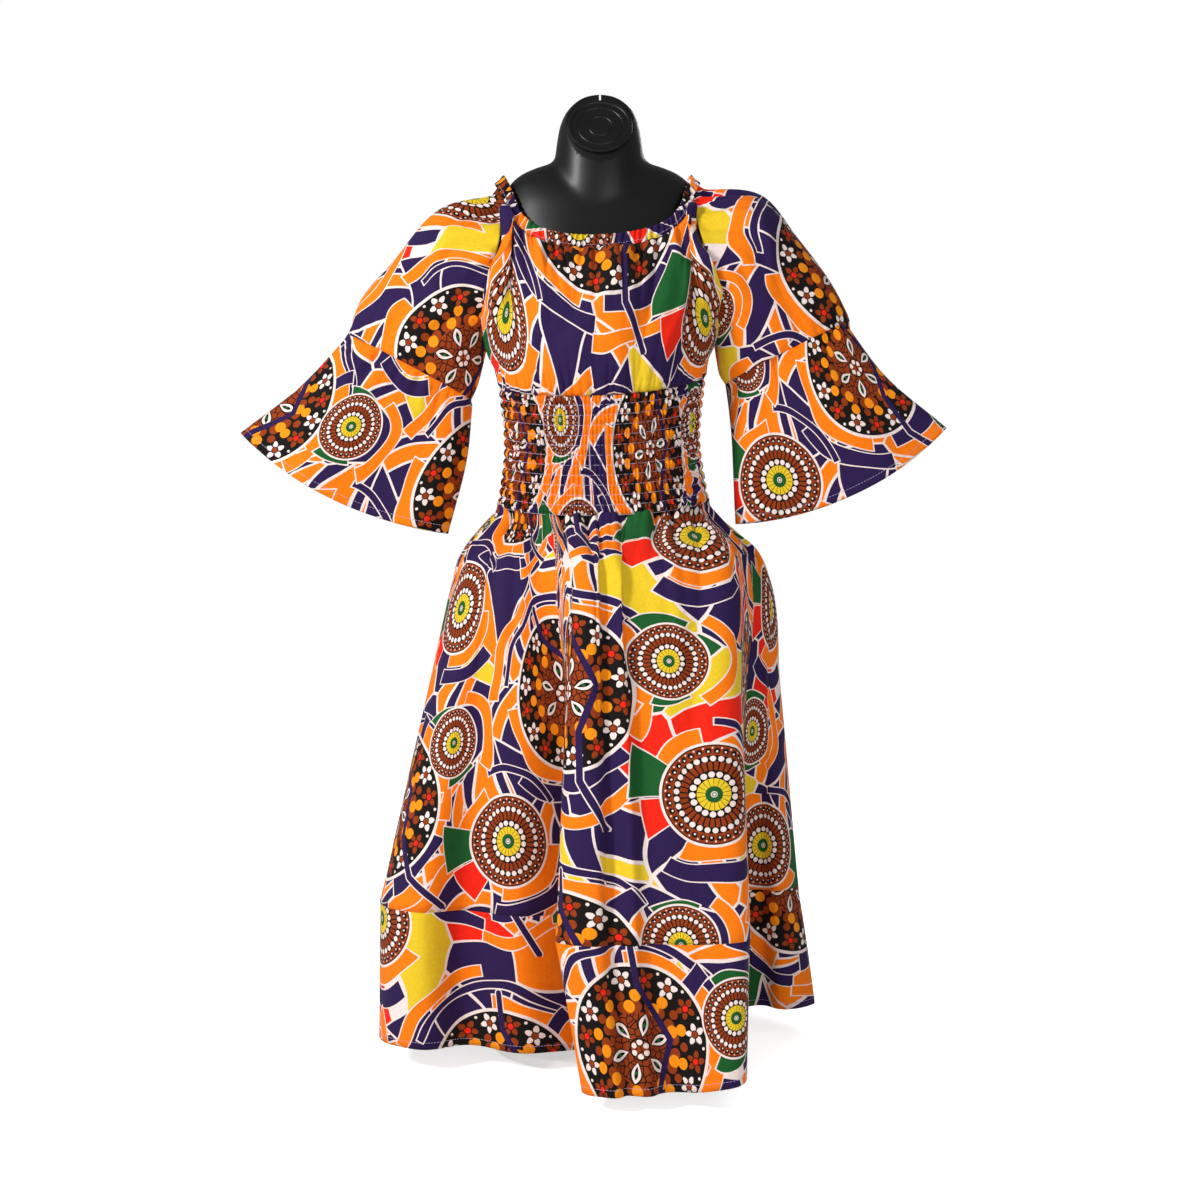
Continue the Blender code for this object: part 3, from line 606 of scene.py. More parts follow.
    # The stroke: the shortest distance to its straight stretches.
    nearest = 1.0
    for (x1, y1), (x2, y2) in zip(STROKE, STROKE[1:]):
        run_x, run_y = x2 - x1, y2 - y1
        from_x = board.math("SUBTRACT", flowered_x, x1)
        from_y = board.math("SUBTRACT", flowered_y, y1)
        reach_of = run_x ** 2 + run_y ** 2
        part = board.math("MULTIPLY_ADD", from_x, run_x / reach_of,
                          board.math("MULTIPLY", from_y, run_y / reach_of))
        part = board.math("MINIMUM", board.math("MAXIMUM", part, 0.0), 1.0)
        distance = length(board.math("MULTIPLY_ADD", part, -run_x, from_x),
                          board.math("MULTIPLY_ADD", part, -run_y, from_y))
        nearest = board.math("MINIMUM", nearest, distance)
    outside = board.math("GREATER_THAN", share_of, 1.045)
    rim_width = board.math("MULTIPLY_ADD", outside, 0.0016, STROKE_HALF_WIDTH)
    ink = board.mix(board.math("LESS_THAN", nearest, rim_width), ink, PALE)
    ink = board.mix(board.math("LESS_THAN", nearest, STROKE_HALF_WIDTH), ink, INDIGO)

    board.feed(board.add("NodeGroupOutput").inputs["Ink"], ink)
    return group


THREAD_REPEAT = 0.0009    # a pair of threads of the plain weave
CRUMPLE_RELIEF = 6.0      # depth of the small crumples beside the threads


def weave_group():
    """Plain weave and small crumples: heights for a bump, and a thread-to-thread shade."""
    group = bpy.data.node_groups.new("plain_weave", "ShaderNodeTree")
    group.interface.new_socket("Cloth", in_out="INPUT", socket_type="NodeSocketVector")
    group.interface.new_socket("Height", in_out="OUTPUT", socket_type="NodeSocketFloat")
    group.interface.new_socket("Shade", in_out="OUTPUT", socket_type="NodeSocketFloat")
    board = Board(group)
    cloth = board.add("NodeGroupInput").outputs["Cloth"]
    split = board.add("ShaderNodeSeparateXYZ")
    board.feed(split.inputs["Vector"], cloth)
    thread = math.tau / THREAD_REPEAT
    warp = board.math("SINE", board.math("MULTIPLY", split.outputs["X"], thread))
    weft = board.math("SINE", board.math("MULTIPLY", split.outputs["Y"], thread))
    weave = board.math("MULTIPLY", board.math("MULTIPLY", warp, weft), 0.10)
    crumple = board.noise(cloth, 26.0, 5.0, 0.6)
    slub = board.noise(cloth, 240.0, 2.0, 0.5)
    uneven = board.math("MULTIPLY_ADD", crumple, CRUMPLE_RELIEF, board.math("MULTIPLY", slub, 0.12))
    height = board.math("ADD", weave, uneven)
    out = board.add("NodeGroupOutput")
    board.feed(out.inputs["Height"], height)
    board.feed(out.inputs["Shade"], board.math("MULTIPLY_ADD", slub, 0.22, 0.86))
    return group


wax_print = wax_print_group()
plain_weave = weave_group()


def printed_cotton(name):
    """Cotton with the print on it: matt, with a light sheen and a starched crispness."""
    finish, board, shader = new_material(name, ORANGE, 0.78)
    cloth = board.add("ShaderNodeUVMap", uv_map="cloth").outputs["UV"]
    design = board.add("ShaderNodeGroup", node_tree=wax_print)
    board.feed(design.inputs["Cloth"], cloth)
    weave = board.add("ShaderNodeGroup", node_tree=plain_weave)
    board.feed(weave.inputs["Cloth"], cloth)
    shade = board.add("ShaderNodeMix", data_type="RGBA", blend_type="MULTIPLY")
    shade.inputs["Factor"].default_value = 1.0
    colours = [s for s in shade.inputs if s.type == "RGBA"]
    board.feed(colours[0], design.outputs["Ink"])
    board.feed(colours[1], weave.outputs["Shade"])
    board.feed(shader.inputs["Base Color"], [s for s in shade.outputs if s.type == "RGBA"][0])
    board.bump(shader, weave.outputs["Height"], 0.55, 0.0012)
    shader.inputs["Sheen Weight"].default_value = 0.03
    shader.inputs["Sheen Roughness"].default_value = 0.5
    shader.inputs["Specular IOR Level"].default_value = 0.16
    return finish


print_cotton = printed_cotton("wax_print_cotton")

# ================================================================ skirt
# Two full widths of cloth, front and back, gathered into the waist band and hung in deep folds.
# The side seams are plain; the pressed folds come from how the cloth was stored.

CLOTH = 0.0005
Ring = namedtuple("Ring", "front_y right_x back_y left_x front_z right_z back_z left_z")
WAIST_TOP = Ring(-0.098, 0.141, 0.098, -0.135, 0.902, 0.935, 0.936, 0.920)
WAIST_MIDDLE = Ring(-0.093, 0.134, 0.093, -0.128, 0.822, 0.851, 0.853, 0.840)
WAIST_BOTTOM = Ring(-0.101, 0.146, 0.101, -0.137, 0.742, 0.767, 0.770, 0.760)
RING_SQUARENESS = 2.3
HIP_Z = 0.660
TIER_SEAM = {"front": 0.203, "right": 0.210, "back": 0.216, "left": 0.2185}
SKIRT_HEM = {"front": 0.021, "right": 0.036, "back": 0.034, "left": 0.037}

Fold = namedtuple("Fold", "name waist_deg hip_x hip_y seam_x seam_y hem_x hem_y steps")
FRONT_FOLDS = [
    Fold("left side seam", 172, -0.203, 0.030, -0.290, 0.070, -0.294, 0.072, 3),
    Fold("left edge", 184, -0.205, -0.022, -0.302, -0.010, -0.303, -0.016, 3),
    Fold("left corner", 195, -0.190, -0.062, -0.282, -0.066, -0.284, -0.068, 2),
    Fold("left pressed fold", 206, -0.168, -0.096, -0.238, -0.088, -0.240, -0.086, 3),
    Fold("left trough", 217, -0.142, -0.118, -0.185, -0.056, -0.180, -0.056, 3),
    Fold("left swell", 230, -0.102, -0.142, -0.110, -0.086, -0.100, -0.084, 4),
    Fold("left valley", 242, -0.066, -0.150, -0.022, -0.054, -0.004, -0.052, 3),
    Fold("lobe side", 246, -0.056, -0.162, -0.038, -0.150, -0.012, -0.160, 3),
    Fold("lobe left fold", 252, -0.041, -0.178, -0.048, -0.249, -0.010, -0.268, 3),
    Fold("first pleat edge", 267, 0.002, -0.180, 0.004, -0.257, 0.022, -0.274, 1),
    Fold("first pleat foot", 270, 0.004, -0.172, 0.013, -0.246, 0.032, -0.262, 2),
    Fold("second pleat edge", 280, 0.030, -0.178, 0.045, -0.254, 0.064, -0.266, 1),
    Fold("second pleat foot", 283, 0.038, -0.170, 0.054, -0.245, 0.074, -0.257, 3),
    Fold("lobe middle", 305, 0.100, -0.172, 0.118, -0.249, 0.122, -0.262, 3),
    Fold("lobe right fold", 336, 0.170, -0.148, 0.174, -0.250, 0.163, -0.270, 3),
    Fold("lobe right side", 345, 0.190, -0.100, 0.183, -0.130, 0.177, -0.130, 3),
    Fold("right side seam", 352, 0.204, -0.050, 0.188, -0.020, 0.188, -0.010, 3),
]
BACK_FOLDS = [
    FRONT_FOLDS[-1],
    Fold("right valley", 358, 0.212, -0.018, 0.184, 0.075, 0.188, 0.110, 2),
    Fold("right inner ridge", 4, 0.232, -0.006, 0.232, 0.122, 0.240, 0.146, 2),
    Fold("right trough", 9, 0.232, 0.018, 0.252, 0.104, 0.262, 0.126, 2),
    Fold("right edge", 17, 0.243, 0.042, 0.288, 0.142, 0.317, 0.156, 3),
    Fold("right back corner", 36, 0.205, 0.112, 0.262, 0.238, 0.280, 0.250, 4),
    Fold("right back lobe", 56, 0.126, 0.162, 0.160, 0.292, 0.170, 0.304, 3),
    Fold("right back side", 67, 0.078, 0.158, 0.092, 0.258, 0.096, 0.262, 3),
    Fold("middle back valley", 77, 0.044, 0.142, 0.052, 0.176, 0.050, 0.172, 3),
    Fold("middle back side", 87, 0.014, 0.158, 0.004, 0.252, 0.000, 0.262, 3),
    Fold("middle back lobe", 99, -0.030, 0.176, -0.052, 0.292, -0.058, 0.306, 3),
    Fold("left back side", 112, -0.080, 0.158, -0.112, 0.244, -0.118, 0.248, 3),
    Fold("left back valley", 122, -0.110, 0.138, -0.134, 0.178, -0.136, 0.174, 3),
    Fold("left back side", 132, -0.136, 0.132, -0.172, 0.236, -0.178, 0.246, 4),
    Fold("left back corner", 150, -0.184, 0.098, -0.248, 0.214, -0.256, 0.222, 4),
    Fold("left back edge", 163, -0.200, 0.060, -0.284, 0.128, -0.288, 0.132, 3),
    FRONT_FOLDS[0],
]
COLUMN_SPLIT = 7         # fine columns of cloth to each step of the fold tables
SKIRT_LEVELS = [0.0, 0.35, 0.7, 1.0, 1.33, 1.67, 2.0]
SKIRT_LEVEL_STEPS = [12, 11, 9, 12, 12, 12]


def around(front, right, back, left, degrees):
    """A value that passes smoothly through four values at the four sides of the body."""
    angle = math.radians(degrees)
    mean = (front + right + back + left) / 4
    sideways = (right - left) / 2 * math.cos(angle)
    lengthways = (back - front) / 2 * math.sin(angle)
    twofold = (right + left - front - back) / 4 * math.cos(2 * angle)
    return mean + sideways + lengthways + twofold


def ring_point(ring, degrees):
    c, s = superellipse(degrees, RING_SQUARENESS)
    x = (ring.right_x + ring.left_x) / 2 + (ring.right_x - ring.left_x) / 2 * c
    y = (ring.back_y + ring.front_y) / 2 + (ring.back_y - ring.front_y) / 2 * s
    return Vector((x, y, around(ring.front_z, ring.right_z, ring.back_z, ring.left_z, degrees)))


def spread(values, steps):
    result = []
    for first, last, count in zip(values, values[1:], steps):
        result += [between(first, last, i / count) for i in range(count)]
    return result + [values[-1]]


def fold_rings(folds, before, after):
    """The skirt's rings at the waist seam, hip, tier seam and hem, for one panel's folds."""
    steps = [fold.steps * COLUMN_SPLIT for fold in folds[:-1]]
    angles = [fold.waist_deg for fold in folds]
    for i in range(1, len(angles)):
        while angles[i] < angles[i - 1]:
            angles[i] += 360
    waist = [ring_point(WAIST_BOTTOM, degrees) for degrees in spread(angles, steps)]

    def ring(x_name, y_name, heights):
        points = []
        for fold in [before] + folds + [after]:
            z = around(**heights, degrees=fold.waist_deg)
            points.append(Vector((getattr(fold, x_name), getattr(fold, y_name), z)))
        return smooth_line(points[1:-1], steps, before=points[0], after=points[-1])

    hip = ring("hip_x", "hip_y", {"front": HIP_Z, "right": HIP_Z, "back": HIP_Z, "left": HIP_Z})
    return waist, hip, ring("seam_x", "seam_y", TIER_SEAM), ring("hem_x", "hem_y", SKIRT_HEM)


def skirt_row(waist, hip, seam, level):
    if level > 1:
        return [between(a, b, level - 1) for a, b in zip(hip, seam)]
    row = []
    for a, b in zip(waist, hip):
        point = between(a, b, math.sin(level * math.pi / 2))
        point.z = between(a.z, b.z, level)
        row.append(point)
    return row


def surface_normals(grid, closed=False):
    """Unit normals of a grid: outward where rows go down and columns go counter-clockwise."""
    if closed:
        across = np.roll(grid, -1, axis=1) - np.roll(grid, 1, axis=1)
    else:
        across = np.gradient(grid, axis=1)
    down = np.gradient(grid, axis=0)
    normals = np.cross(down, across)
    normals /= np.linalg.norm(normals, axis=2, keepdims=True) + 1e-12
    return normals


def distance_along(grid, axis):
    """How far each point lies along the cloth from the grid's first row or column."""
    gaps = np.linalg.norm(np.diff(grid, axis=axis), axis=2)
    pad = [(0, 0), (0, 0)]
    pad[axis] = (1, 0)
    return np.cumsum(np.pad(gaps, pad), axis=axis)


# One kind of gather along a seam: from one to the next, how deep, and how far from the seam,
# in metres. A crispness of 1 is a sharp crease, 2 a soft hollow.
Gathers = namedtuple("Gathers", "spacing depth reach crispness")


def gather(along, away, rng, kind, length):
    """Hollows pinched into a gathered seam: heights over the cloth, nought or less.

    along is the place along the seam and away the distance from it, both in metres.
    """
    result = np.zeros_like(along)
    place = kind.spacing * rng.random()
    while place < length:
        deep = kind.depth * rng.uniform(0.45, 1.3)
        long = kind.reach * rng.uniform(0.35, 1.7)
        wide = kind.spacing * rng.uniform(0.22, 0.36)
        lean = rng.uniform(-0.10, 0.10)
        fade = np.exp(-(away / long) ** 1.4)
        opening = wide * (1 + 0.8 * away / (away + 0.06))
        result -= deep * fade * np.exp(-np.abs((along - place - lean * away) / opening) ** kind.crispness)
        place += kind.spacing * rng.uniform(0.6, 1.5)
    return result


def round_closed(row):
    """How far each point of a closed row lies along it, and last the whole way round."""
    loop = np.concatenate([row, row[:1]])
    return np.concatenate([[0], np.cumsum(np.linalg.norm(np.diff(loop, axis=0), axis=1))])


Crease = namedtuple("Crease", "name u1 v1 u2 v2 width depth")


def crease(u, v, creases):
    """Listed creases: soft ridges, or troughs where depth is negative.

    Each runs from (u1, v1) to (u2, v2), both as shares of the piece's width and height.
    """
    width = u.max() - u.min()
    height = v.max() - v.min()
    result = np.zeros_like(u)
    for line in creases:
        x1, y1 = u.min() + line.u1 * width, v.min() + line.v1 * height
        x2, y2 = u.min() + line.u2 * width, v.min() + line.v2 * height
        run = math.hypot(x2 - x1, y2 - y1)
        ahead = ((u - x1) * (x2 - x1) + (v - y1) * (y2 - y1)) / run
        aside = ((u - x1) * (y2 - y1) - (v - y1) * (x2 - x1)) / run
        aside = aside + 0.12 * run * np.sin(np.clip(ahead / run, 0, 1) * math.pi) * 0.4
        share = np.clip(ahead / run, 0, 1)
        past = np.maximum(np.abs(ahead - run / 2) - run / 2, 0)
        taper = np.sin(math.pi * np.clip(share * 0.86 + 0.07, 0, 1)) * np.exp(-(past / line.width) ** 2)
        result += line.depth * taper * np.exp(-(aside / line.width) ** 2)
    return result


def cloth_mesh(name, grid, u, v, closed=False):
    """A mesh of quads over a grid of points, with its cloth coordinates in metres."""
    rows, columns = grid.shape[:2]
    faces = []
    corners = []
    for r in range(rows - 1):
        for c in range(columns if closed else columns - 1):
            d = (c + 1) % columns
            faces.append((r * columns + c, (r + 1) * columns + c, (r + 1) * columns + d, r * columns + d))
            right = u[r, d] if d > c else u[r, c] + (u[r, c] - u[r, c - 1])
            lower_right = u[r + 1, d] if d > c else u[r + 1, c] + (u[r + 1, c] - u[r + 1, c - 1])
            corners += [u[r, c], v[r, c], u[r + 1, c], v[r + 1, c], lower_right, v[r + 1, d], right, v[r, d]]
    mesh = bpy.data.meshes.new(name)
    mesh.from_pydata(grid.reshape(-1, 3).tolist(), [], faces)
    layer = mesh.uv_layers.new(name="cloth")
    layer.data.foreach_set("uv", corners)
    mesh.shade_smooth()
    return mesh


def sewn_piece(name, node, grid, u, v, closed=False):
    """A piece of printed cotton over its solid, with the cloth's own thickness."""
    item = add_object(name, cloth_mesh(name, grid, u, v, closed), print_cotton)
    wall = item.modifiers.new("cloth thickness", "SOLIDIFY")
    wall.thickness = CLOTH
    wall.offset = 0.0
    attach(item, "root")
    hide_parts(node)
    return item


def to_grid(rows):
    return np.array([[tuple(point) for point in row] for row in rows])


# Where a motif of the print falls on a piece: across and up it, in metres, and the print's turn.
Print = namedtuple("Print", "motif across up turn")


def lay_print(u, v, spot):
    """Cloth coordinates in the print's own repeat for places on a piece."""
    turn = math.radians(spot.turn)
    x, y = u - spot.across, v - spot.up
    return (spot.motif.x + x * math.cos(turn) - y * math.sin(turn),
            spot.motif.y + x * math.sin(turn) + y * math.cos(turn))


def lay_two_prints(u, v, left, right, repeats, pull):
    """The left part's print as far as the bottom of a deep fold, and the right part's after it.

    pull draws the right part's print towards the fold, in metres.
    """
    drawn = pull * np.exp(-(np.maximum(u - FOLD_EDGE, 0) / PULL_REACH) ** 2)
    left_u, left_v = lay_print(u, v, left)
    right_u, right_v = lay_print(u + drawn, v, right)
    on_right = u > FOLD_BOTTOM
    return np.where(on_right, right_u + TILE_WIDTH * repeats, left_u), np.where(on_right, right_v, left_v)


SKIRT_CREASES = {
    "front": [
        Crease("left pressed fold", 0.190, 0.95, 0.200, 0.55, 0.008, 0.004),
        Crease("left slant", 0.195, 0.48, 0.280, 0.22, 0.010, 0.005),
        Crease("left soft trough", 0.270, 0.90, 0.275, 0.52, 0.014, -0.006),
        Crease("hip ruck", 0.100, 0.97, 0.150, 0.80, 0.009, 0.005),
        Crease("lobe drag", 0.620, 0.92, 0.700, 0.62, 0.012, 0.004),
        Crease("lobe hollow", 0.760, 0.95, 0.745, 0.50, 0.020, -0.006),
        Crease("lobe right drag", 0.820, 0.96, 0.800, 0.66, 0.010, 0.004),
        Crease("lobe low swell", 0.700, 0.40, 0.690, 0.04, 0.030, 0.005),
        Crease("lobe low trough", 0.640, 0.30, 0.630, 0.02, 0.018, -0.004),
    ],
    "back": [
        Crease("back drag left", 0.840, 0.95, 0.800, 0.62, 0.012, 0.005),
        Crease("back drag right", 0.300, 0.95, 0.340, 0.58, 0.012, 0.005),
        Crease("back slant", 0.500, 0.90, 0.560, 0.60, 0.010, -0.004),
        Crease("back low swell", 0.420, 0.40, 0.430, 0.05, 0.024, 0.005),
        Crease("back right ruck", 0.120, 0.97, 0.140, 0.75, 0.010, 0.005),
        Crease("back low slant", 0.700, 0.45, 0.740, 0.10, 0.016, -0.004),
    ],
}
SKIRT_FINE = Gathers(0.0130, 0.0100, 0.055, 1.0)
SKIRT_LONG = Gathers(0.0360, 0.0125, 0.210, 1.15)
FOLD_BOTTOM, FOLD_EDGE = 0.45, 0.63      # the deep front fold's places across the cloth
PULL_REACH = 0.09
SKIRT_PRINT = {
    "left": Print(SMALL_SUN, 0.205, 0.441, -26),
    "right": Print(LARGE_SUN, 0.848, 0.391, 0),
    "back": Print(FLOWERED, 0.370, 0.400, 4),
}
TIER_PRINT = {
    "left": Print(FLOWERED, 0.304, -0.021, 0),
    "right": Print(FLOWERED, 0.731, 0.078, 0),
    "back": Print(LARGE_SUN, 0.420, 0.090, 0),
}
skirt_edges = {}
for face, folds, before, after in (
    ("front", FRONT_FOLDS, BACK_FOLDS[-2], BACK_FOLDS[1]),
    ("back", BACK_FOLDS, FRONT_FOLDS[-2], FRONT_FOLDS[1]),
):
    waist, hip, seam, hem = fold_rings(folds, before, after)
    levels = [skirt_row(waist, hip, seam, level) for level in SKIRT_LEVELS]
    columns = [smooth_line(list(points), SKIRT_LEVEL_STEPS) for points in zip(*levels)]
    grid = to_grid(zip(*columns))
    seam_line = to_grid([seam])
    cut_place = distance_along(seam_line, 1)[0]
    u = np.tile(cut_place, (grid.shape[0], 1))
    fallen = distance_along(grid, 0)
    v = np.tile((seam_line[0, :, 2].mean() + fallen.mean(axis=1)[-1] - fallen.mean(axis=1))[:, None],
                (1, grid.shape[1]))
    waist_place = np.tile(distance_along(grid[:1], 1)[0], (grid.shape[0], 1))
    rng = random.Random(11 if face == "front" else 12)
    lift = gather(waist_place, fallen, rng, SKIRT_FINE, waist_place.max())
    lift += gather(waist_place, fallen, rng, SKIRT_LONG, waist_place.max())
    lift += crease(u, v, SKIRT_CREASES[face])
    lift *= np.clip((fallen[-1] - fallen) / 0.03, 0, 1) * 0.85 + 0.15
    lift -= lift[0].mean() * np.exp(-fallen / 0.01)
    sides = np.clip(np.minimum(u, u.max() - u) / 0.02, 0, 1)
    grid = grid + surface_normals(grid) * (lift * sides)[..., None]
    if face == "front":
        print_u, print_v = lay_two_prints(u, v, SKIRT_PRINT["left"], SKIRT_PRINT["right"], 2, 0.030)
    else:
        print_u, print_v = lay_print(u, v, SKIRT_PRINT["back"])
    skirt = sewn_piece(f"skirt_{face}_cloth", f"skirt_{face}", grid, print_u, print_v)
    skirt_edges[face] = (seam, hem, u)

# ================================================================ hem tier
# A band of the same print sewn under the skirt, with its own run of the design.
# The raw edge is turned up once and held by one row of machine stitches.

TIER_ROWS = 20
TURN_UP = 0.012
TIER_GATHERS = Gathers(0.0300, 0.0022, 0.060, 1.15)
TIER_DROP = 0.18
TIER_SWAY, HEM_SWAY = 0.0016, 0.0022     # slow waves, more towards the hem
tier_grids = {}
for face in ("front", "back"):
    seam, hem, skirt_u = skirt_edges[face]
    grid = to_grid([[between(a, b, i / TIER_ROWS) for a, b in zip(seam, hem)]
                    for i in range(TIER_ROWS + 1)])
    u = np.tile(skirt_u[0], (grid.shape[0], 1))
    fallen = distance_along(grid, 0)
    v = grid[..., 2].copy()
    rng = random.Random(21 if face == "front" else 22)
    length = u.max()
    lift = gather(u, fallen, rng, TIER_GATHERS, length)
    lift += TIER_SWAY * np.sin(u * 37 + 5 * fallen) * fallen / TIER_DROP
    lift += HEM_SWAY * np.sin(u * 61 + 1.3) * (fallen / TIER_DROP) ** 2
    lift *= np.clip(fallen / 0.012, 0, 1)
    lift *= np.clip(np.minimum(u, length - u) / 0.02, 0, 1)
    grid = grid + surface_normals(grid) * lift[..., None]
    if face == "front":
        print_u, print_v = lay_two_prints(u, v, TIER_PRINT["left"], TIER_PRINT["right"], 1, 0.0)
    else:
        print_u, print_v = lay_print(u, v, TIER_PRINT["back"])
    tier = sewn_piece(f"hem_tier_{face}_cloth", f"hem_tier_{face}", grid, print_u, print_v)
    tier_grids[face] = grid

# ================================================================ thread
# Pale lilac polyester sewing thread: shirring rows, hem stitches and the casing's stitch line.
# Each run is a thin strand laid on the cloth, joined into one mesh for each seam.

THREAD_RADIUS = 0.00032
LILAC = (0.560, 0.470, 0.700)
STITCH_LENGTH = 0.0030
STITCH_GAP = 0.0013
STITCH_RISE = 0.0004


def sewing_thread(name, colour):
    finish, board, shader = new_material(name, colour, 0.45)
    place = board.place()
    twist = board.noise(place, 2600.0, 2.0)
    board.feed(shader.inputs["Base Color"], board.ramp(twist, [
        (0.3, tuple(0.62 * part for part in colour)), (0.7, colour),
    ]))
    shader.inputs["Sheen Weight"].default_value = 0.2
    return finish


lilac_thread = sewing_thread("lilac_thread", LILAC)


def thread_piece(name, runs, outward):
    """One mesh of four-sided strands; runs are lists of points, outward their cloth normals."""
    points = []
    faces = []
    for run, normals in zip(runs, outward):
        start = len(points)
        for i in range(len(run)):
            ahead = run[min(i + 1, len(run) - 1)] - run[max(i - 1, 0)]
            aside = np.cross(ahead, normals[i])
            aside /= np.linalg.norm(aside) + 1e-12
            for offset in (normals[i], aside, -normals[i], -aside):
                points.append(run[i] + offset * THREAD_RADIUS)
        for i in range(len(run) - 1):
            for k in range(4):
                a, b = start + 4 * i + k, start + 4 * i + (k + 1) % 4
                faces.append((a, b, b + 4, a + 4))
        faces.append((start + 3, start + 2, start + 1, start))
        end = start + 4 * (len(run) - 1)
        faces.append((end, end + 1, end + 2, end + 3))
    mesh = bpy.data.meshes.new(name)
    mesh.from_pydata([tuple(point) for point in points], [], faces)
    work = bmesh.new()
    work.from_mesh(mesh)
    bmesh.ops.recalc_face_normals(work, faces=work.faces)
    work.to_mesh(mesh)
    work.free()
    mesh.shade_smooth()
    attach(add_object(name, mesh, lilac_thread), "root")


def stitches(line, normals):
    """Short machine stitches along a line on the cloth."""
    gaps = np.linalg.norm(np.diff(line, axis=0), axis=1)
    place = np.concatenate([[0], np.cumsum(gaps)])
    at = np.arange(0.002, place[-1] - STITCH_LENGTH, STITCH_LENGTH + STITCH_GAP)
    runs = []
    outward = []
    for start in at:
        marks = np.array([start, start + STITCH_LENGTH * 0.5, start + STITCH_LENGTH])
        run = np.stack([np.interp(marks, place, line[:, k]) for k in range(3)], axis=1)
        facing = np.stack([np.interp(marks, place, normals[:, k]) for k in range(3)], axis=1)
        facing /= np.linalg.norm(facing, axis=1, keepdims=True)
        runs.append(run + facing * np.array([[0.0], [STITCH_RISE], [0.0]]) + facing * CLOTH * 0.5)
        outward.append(facing)
    return runs, outward


def hem_row(fallen):
    """The row of a piece that lies a turn-up above its last one."""
    return int(np.argmin(np.abs(fallen[-1] - fallen - TURN_UP)))


def closed_stitches(name, line, normals):
    """A row of stitches all the way round a tube of cloth."""
    thread_piece(name, *stitches(np.concatenate([line, line[:1]]), np.concatenate([normals, normals[:1]])))


for face, grid in tier_grids.items():
    row = hem_row(distance_along(grid, 0).mean(axis=1))
    thread_piece(f"hem_stitches_{face}", *stitches(grid[row], surface_normals(grid)[row]))

# ================================================================ waist band
# Shirred cloth: rows of elastic thread draw it up to half its width in small upright ripples.
# The cloth puffs between the rows and is pinched flat under each one.

SHIRRING_SPACES = 12
WAIST_FULLNESS = 1.9
RIPPLE_SPACING = 0.0051
RIPPLE_HEIGHT = 0.0038
PUFF_HEIGHT = 0.0011
THREAD_PULL = 0.0006
THREAD_RISE = 0.0007
WAIST_COLUMNS = {"front": 450, "back": 320}
WAIST_PRINT = {"front": Print(SMALL_SUN, 0.258, 0.869, 0), "back": Print(LARGE_SUN, 0.300, 0.850, 0)}
for face, start_deg in (("front", 180), ("back", 0)):
    count = WAIST_COLUMNS[face]
    degrees = [start_deg + 180 * i / count for i in range(count + 1)]
    half = SHIRRING_SPACES // 2 * 5
    columns = [smooth_line([ring_point(ring, angle) for ring in (WAIST_TOP, WAIST_MIDDLE, WAIST_BOTTOM)],
                           [half, half]) for angle in degrees]
    grid = to_grid(zip(*columns))
    arc = np.tile(distance_along(grid[:1], 1)[0], (grid.shape[0], 1))
    fallen = distance_along(grid, 0)
    space = fallen / fallen[-1] * SHIRRING_SPACES
    rng = np.random.default_rng(31 if face == "front" else 32)
    count = int(arc.max() / RIPPLE_SPACING) + 3
    peaks = np.cumsum(rng.uniform(0.7, 1.35, count)) * RIPPLE_SPACING
    phase = np.interp(arc[0], peaks, np.arange(count)) * math.tau
    shifts = rng.uniform(-1.0, 1.0, (SHIRRING_SPACES + 1, 40))
    knots = np.linspace(0, arc.max(), 40)
    shift_rows = np.array([np.interp(arc[0], knots, shift) for shift in shifts])
    lower = np.clip(np.floor(space).astype(int), 0, SHIRRING_SPACES - 1)
    share = space - lower
    blend = 3 * share ** 2 - 2 * share ** 3
    column = np.arange(grid.shape[1])
    shift = shift_rows[lower, column] * (1 - blend) + shift_rows[lower + 1, column] * blend
    puff = np.sin(math.pi * share)
    ripple = (0.5 + 0.5 * np.cos(phase[None, :] + 1.5 * shift)) * (0.35 + 0.65 * puff ** 0.7)
    lift = RIPPLE_HEIGHT * ripple + PUFF_HEIGHT * puff - THREAD_PULL
    grid = grid + surface_normals(grid) * lift[..., None]
    print_u, print_v = lay_print(arc * WAIST_FULLNESS, grid[..., 2], WAIST_PRINT[face])
    band = sewn_piece(f"waist_smocking_{face}_cloth", f"waist_smocking_{face}", grid, print_u, print_v)
    normals = surface_normals(grid)
    rows = [round(i * (grid.shape[0] - 1) / SHIRRING_SPACES) for i in range(SHIRRING_SPACES + 1)]
    runs = [(grid[r] + normals[r] * THREAD_RISE)[::3] for r in rows]
    thread_piece(f"shirring_threads_{face}", runs, [normals[r][::3] for r in rows])

# ================================================================ neck casing
# A folded strip with elastic run through it, ruffled all round the open neckline.
# One row of stitches holds its lower edge to the bodice and the sleeves.

